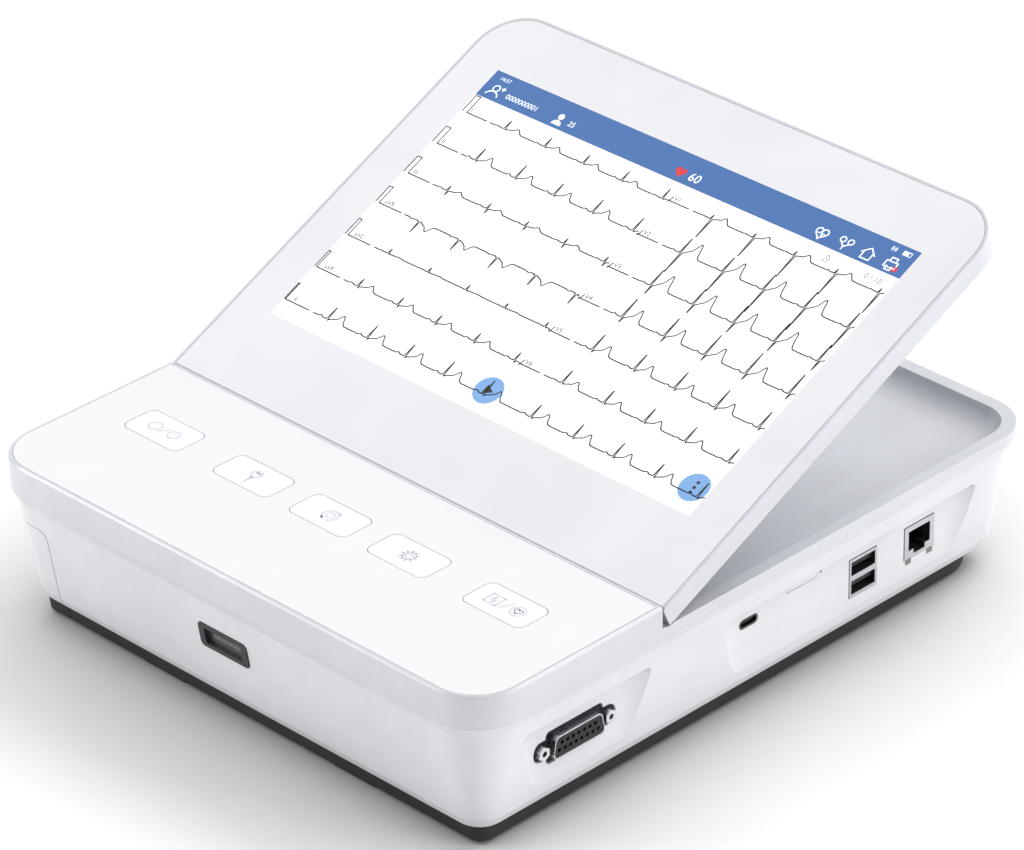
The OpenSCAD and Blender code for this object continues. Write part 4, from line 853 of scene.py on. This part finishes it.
def build_contacts():
    """Spring contacts of the network, USB-A and USB-C sockets, and the network socket's lights."""
    parts = []
    low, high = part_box("lan_socket")
    front = high[0]
    cy, cz = (low[1] + high[1]) / 2, high[2] - 6.8 * MM
    for i in range(8):
        y = cy + (i - 3.5) * 1.02 * MM
        path = [(front - 1.6 * MM, cz + 4.4 * MM), (front - 2.2 * MM, cz + 4.4 * MM),
                (front - 8 * MM, cz + 0.6 * MM),
                (front - 8.4 * MM, cz + 0.9 * MM), (front - 2.4 * MM, cz + 4.75 * MM),
                (front - 1.6 * MM, cz + 4.75 * MM)]
        parts.append(extrude_outline(path, y - 0.2 * MM, 0.4 * MM, lambda x, z, y_: Vector((x, y_, z))))
    low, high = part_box("usb_a_tongues")
    middle = (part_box("usb_a_shell")[0][2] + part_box("usb_a_shell")[1][2]) / 2
    cy = (low[1] + high[1]) / 2
    for level in (-1, 1):
        z = middle + level * 4 * MM - 0.3 * MM
        for offset in (-3.5, -1.0, 1.0, 3.5):
            y = cy + offset * MM
            path = [(high[0] - 7 * MM, z + 0.05 * MM), (high[0] - 1.2 * MM, z + 0.05 * MM),
                    (high[0] - 2.4 * MM, z - 0.25 * MM), (high[0] - 7 * MM, z - 0.1 * MM)]
            parts.append(extrude_outline(path, y - 0.5 * MM, 1.0 * MM, lambda x, z_, y_: Vector((x, y_, z_))))
    low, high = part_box("usb_c_port")
    cy, cz = (low[1] + high[1]) / 2, (low[2] + high[2]) / 2
    for i in range(12):
        y = cy + (i - 5.5) * 0.5 * MM
        path = [(high[0] - 4 * MM, cz + 0.34 * MM), (high[0] - 1.3 * MM, cz + 0.34 * MM),
                (high[0] - 1.3 * MM, cz + 0.39 * MM), (high[0] - 4 * MM, cz + 0.39 * MM)]
        parts.append(extrude_outline(path, y - 0.14 * MM, 0.28 * MM, lambda x, z, y_: Vector((x, y_, z))))
    verts, faces = join(parts)
    make_piece("socket_contacts", verts, faces, GOLD, "case")
    low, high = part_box("lan_socket")
    windows = []
    window_w, margin, proud, sunk = 2.8 * MM, 0.8 * MM, 0.06 * MM, 0.5 * MM
    bottom, top = low[2] + margin, low[2] + 2.6 * MM
    back, front = high[0] - sunk, high[0] + proud
    for left in (low[1] + margin, high[1] - margin - window_w):
        corners = [(back, bottom), (front, bottom), (front, top), (back, top)]
        windows.append(extrude_outline(corners, left, window_w, lambda x, z, y: Vector((x, y, z))))
    verts, faces = join(windows)
    window = ink("light_window", srgb(118, 124, 118))
    make_piece("network_lights", verts, faces, window, "case")


# ---------------------------------------------------------------- dress the CAD

MATERIALS = {
    "top_case": SILVER, "display_frame": SILVER, "keypad_panel": DECK, "lower_case": WHITE,
    "drawer_front": WHITE,
    "display_back": WHITE, "card_tray": WHITE, "base_plate": CHARCOAL, "battery_door": CHARCOAL,
    "drawer_tray": CHARCOAL, "scanner_bezel": BEZEL_DARK, "lead_insert": BLACK, "usb_a_tongues": BLACK,
    "speaker": BLACK, "scanner_module": BLACK, "rubber_feet": TREAD, "platen_roller": RUBBER,
    "keypad_mat": CLEAR_GREY, "platen_shaft": SHAFT, "hinge_pins": SHAFT, "hinge_leaves": STEEL,
    "hinge_brackets": STEEL, "gear_plate": STEEL, "stepper_motor": DARK_STEEL, "drive_pinion": SHAFT,
    "head_springs": STEEL, "ecg_shield": STEEL, "card_socket": STEEL, "jack_screws": BRIGHT_NUT,
    "case_screws": ZINC,
    "display_screws": ZINC, "board_screws": ZINC, "head_heatsink": ALLOY, "platen_bushes": TAN,
    "platen_gear": IVORY, "idler_gear": IVORY, "earth_stud": NICKEL, "usb_a_shell": MOUTH,
    "lan_socket": MOUTH,
    "tear_bar": STEEL,
}
for key in ("key_power", "key_leads", "key_repeat", "key_setup", "key_record"):
    MATERIALS[key] = KEYCAP
MATERIALS["display_glass"] = glass_material(face, PICTURE)
MATERIALS["lcd_panel"] = lcd_material()
MATERIALS["paper_pack"] = paper_material()
MATERIALS["battery_pack"] = battery_material()
MATERIALS["scanner_window"] = smoky_material()
MATERIALS["head_strip"] = strip_material()
MATERIALS["lead_shell"] = lead_shell_material()
MATERIALS["usb_c_port"] = mouth("port_ring", srgb(84, 86, 90), srgb(20, 20, 22), side_x - 0.35)
MATERIALS["mains_inlet"] = inlet_material()
for node in ("main_board", "io_board", "ecg_board", "power_supply"):
    MATERIALS[node] = board("board_" + node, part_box(node)[0][2] / MM, 1.6)
MATERIALS["keypad_board"] = board("board_keypad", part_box("keypad_board")[0][2] / MM, 1.6)
MATERIALS["display_board"] = board("board_display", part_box("display_board")[0][2] / MM, 60.0)

for node, obj in NODES.items():
    for slot in obj.material_slots:
        slot.material = MATERIALS[node]

build_screen()
build_keys()
build_tear_bar()
build_contacts()
dress_screws("case_screws", "case_screw_heads", "case", (0, 0, -1))


# ---------------------------------------------------------------- floor, light and camera


def build_floor():
    g = Graph("studio_floor")
    cloud = g.noise(0.004, 2.0)
    sheet = g.mix(g.remap(cloud, 0.3, 0.7), srgb(246, 246, 247), srgb(249, 249, 250))
    # painted shadow: the floor darkens near the object, where it is closed in
    material = g.close(Base_Color=g.shaded(sheet, 80, 0.5), Roughness=0.6)
    mesh = bpy.data.meshes.new("floor")
    mesh.from_pydata([(-4, -4, 0), (4, -4, 0), (4, 4, 0), (-4, 4, 0)], [], [(0, 1, 2, 3)])
    mesh.materials.append(material)
    floor = bpy.data.objects.new("floor", mesh)
    bpy.context.scene.collection.objects.link(floor)


def area_light(name, place, target, size, power, colour=(1, 1, 1)):
    light = bpy.data.lights.new(name, "AREA")
    light.shape, light.size, light.energy, light.color = "SQUARE", size, power, colour
    obj = bpy.data.objects.new(name, light)
    obj.location = place
    obj.rotation_euler = (Vector(target) - Vector(place)).to_track_quat("-Z", "Y").to_euler()
    bpy.context.scene.collection.objects.link(obj)


def build_light():
    world = bpy.data.worlds.new("studio")
    bpy.context.scene.world = world
    world.use_nodes = True
    tree = world.node_tree
    sky = tree.nodes["Background"]
    direction = tree.nodes.new("ShaderNodeTexCoord").outputs["Generated"]
    # the room is dim behind the camera, so faces turned that way fall off in tone
    toward = tree.nodes.new("ShaderNodeVectorMath")
    toward.operation = "DOT_PRODUCT"
    toward.inputs[1].default_value = (0.7, -0.7, 0.1)
    dim = tree.nodes.new("ShaderNodeMapRange")
    dim.inputs["From Min"].default_value, dim.inputs["From Max"].default_value = 0.6, 0.92
    dim.inputs["To Min"].default_value, dim.inputs["To Max"].default_value = 0.88, 0.12
    tree.links.new(direction, toward.inputs[0])
    tree.links.new(toward.outputs["Value"], dim.inputs["Value"])
    tree.links.new(dim.outputs["Result"], sky.inputs[1])
    split = tree.nodes.new("ShaderNodeSeparateXYZ")
    ramp = tree.nodes.new("ShaderNodeValToRGB")
    ramp.color_ramp.elements[0].color = (0.72, 0.74, 0.78, 1)
    ramp.color_ramp.elements[1].color = (1.0, 1.0, 1.0, 1)
    ramp.color_ramp.elements[1].position = 0.7
    tree.links.new(direction, split.inputs[0])
    tree.links.new(split.outputs[2], ramp.inputs[0])
    tree.links.new(ramp.outputs[0], sky.inputs[0])
    area_light("softbox_back", (0.45, 1.6, 1.9), (0, 0, 0.05), 1.5, 26)
    area_light("softbox_left", (-0.8, -0.9, 0.45), (-0.1, -0.1, 0.03), 0.5, 4.2)
    area_light("softbox_right", (2.0, 0.9, 0.6), (0, 0, 0.05), 0.9, 15)


def build_camera():
    azimuth, elevation, roll = math.radians(45.44), math.radians(30.03), math.radians(-1.08)
    right = Vector((math.cos(azimuth), math.sin(azimuth), 0))
    back = Vector((math.sin(azimuth) * math.cos(elevation), -math.cos(azimuth) * math.cos(elevation),
                   math.sin(elevation)))
    up = back.cross(right)
    turned_right = right * math.cos(roll) + up * math.sin(roll)
    turned_up = up * math.cos(roll) - right * math.sin(roll)
    camera = bpy.data.cameras.new("camera")
    camera.sensor_width, camera.lens = 36.0, 202.15
    camera.clip_start, camera.clip_end = 0.05, 20.0
    obj = bpy.data.objects.new("camera", camera)
    rows = Matrix((turned_right, turned_up, back)).transposed().to_4x4()
    obj.matrix_world = Matrix.Translation((1.3082, -1.2898, 1.1306)) @ rows
    bpy.context.scene.collection.objects.link(obj)
    bpy.context.scene.camera = obj


build_floor()
build_light()
build_camera()
bpy.context.scene.view_settings.view_transform = "Standard"
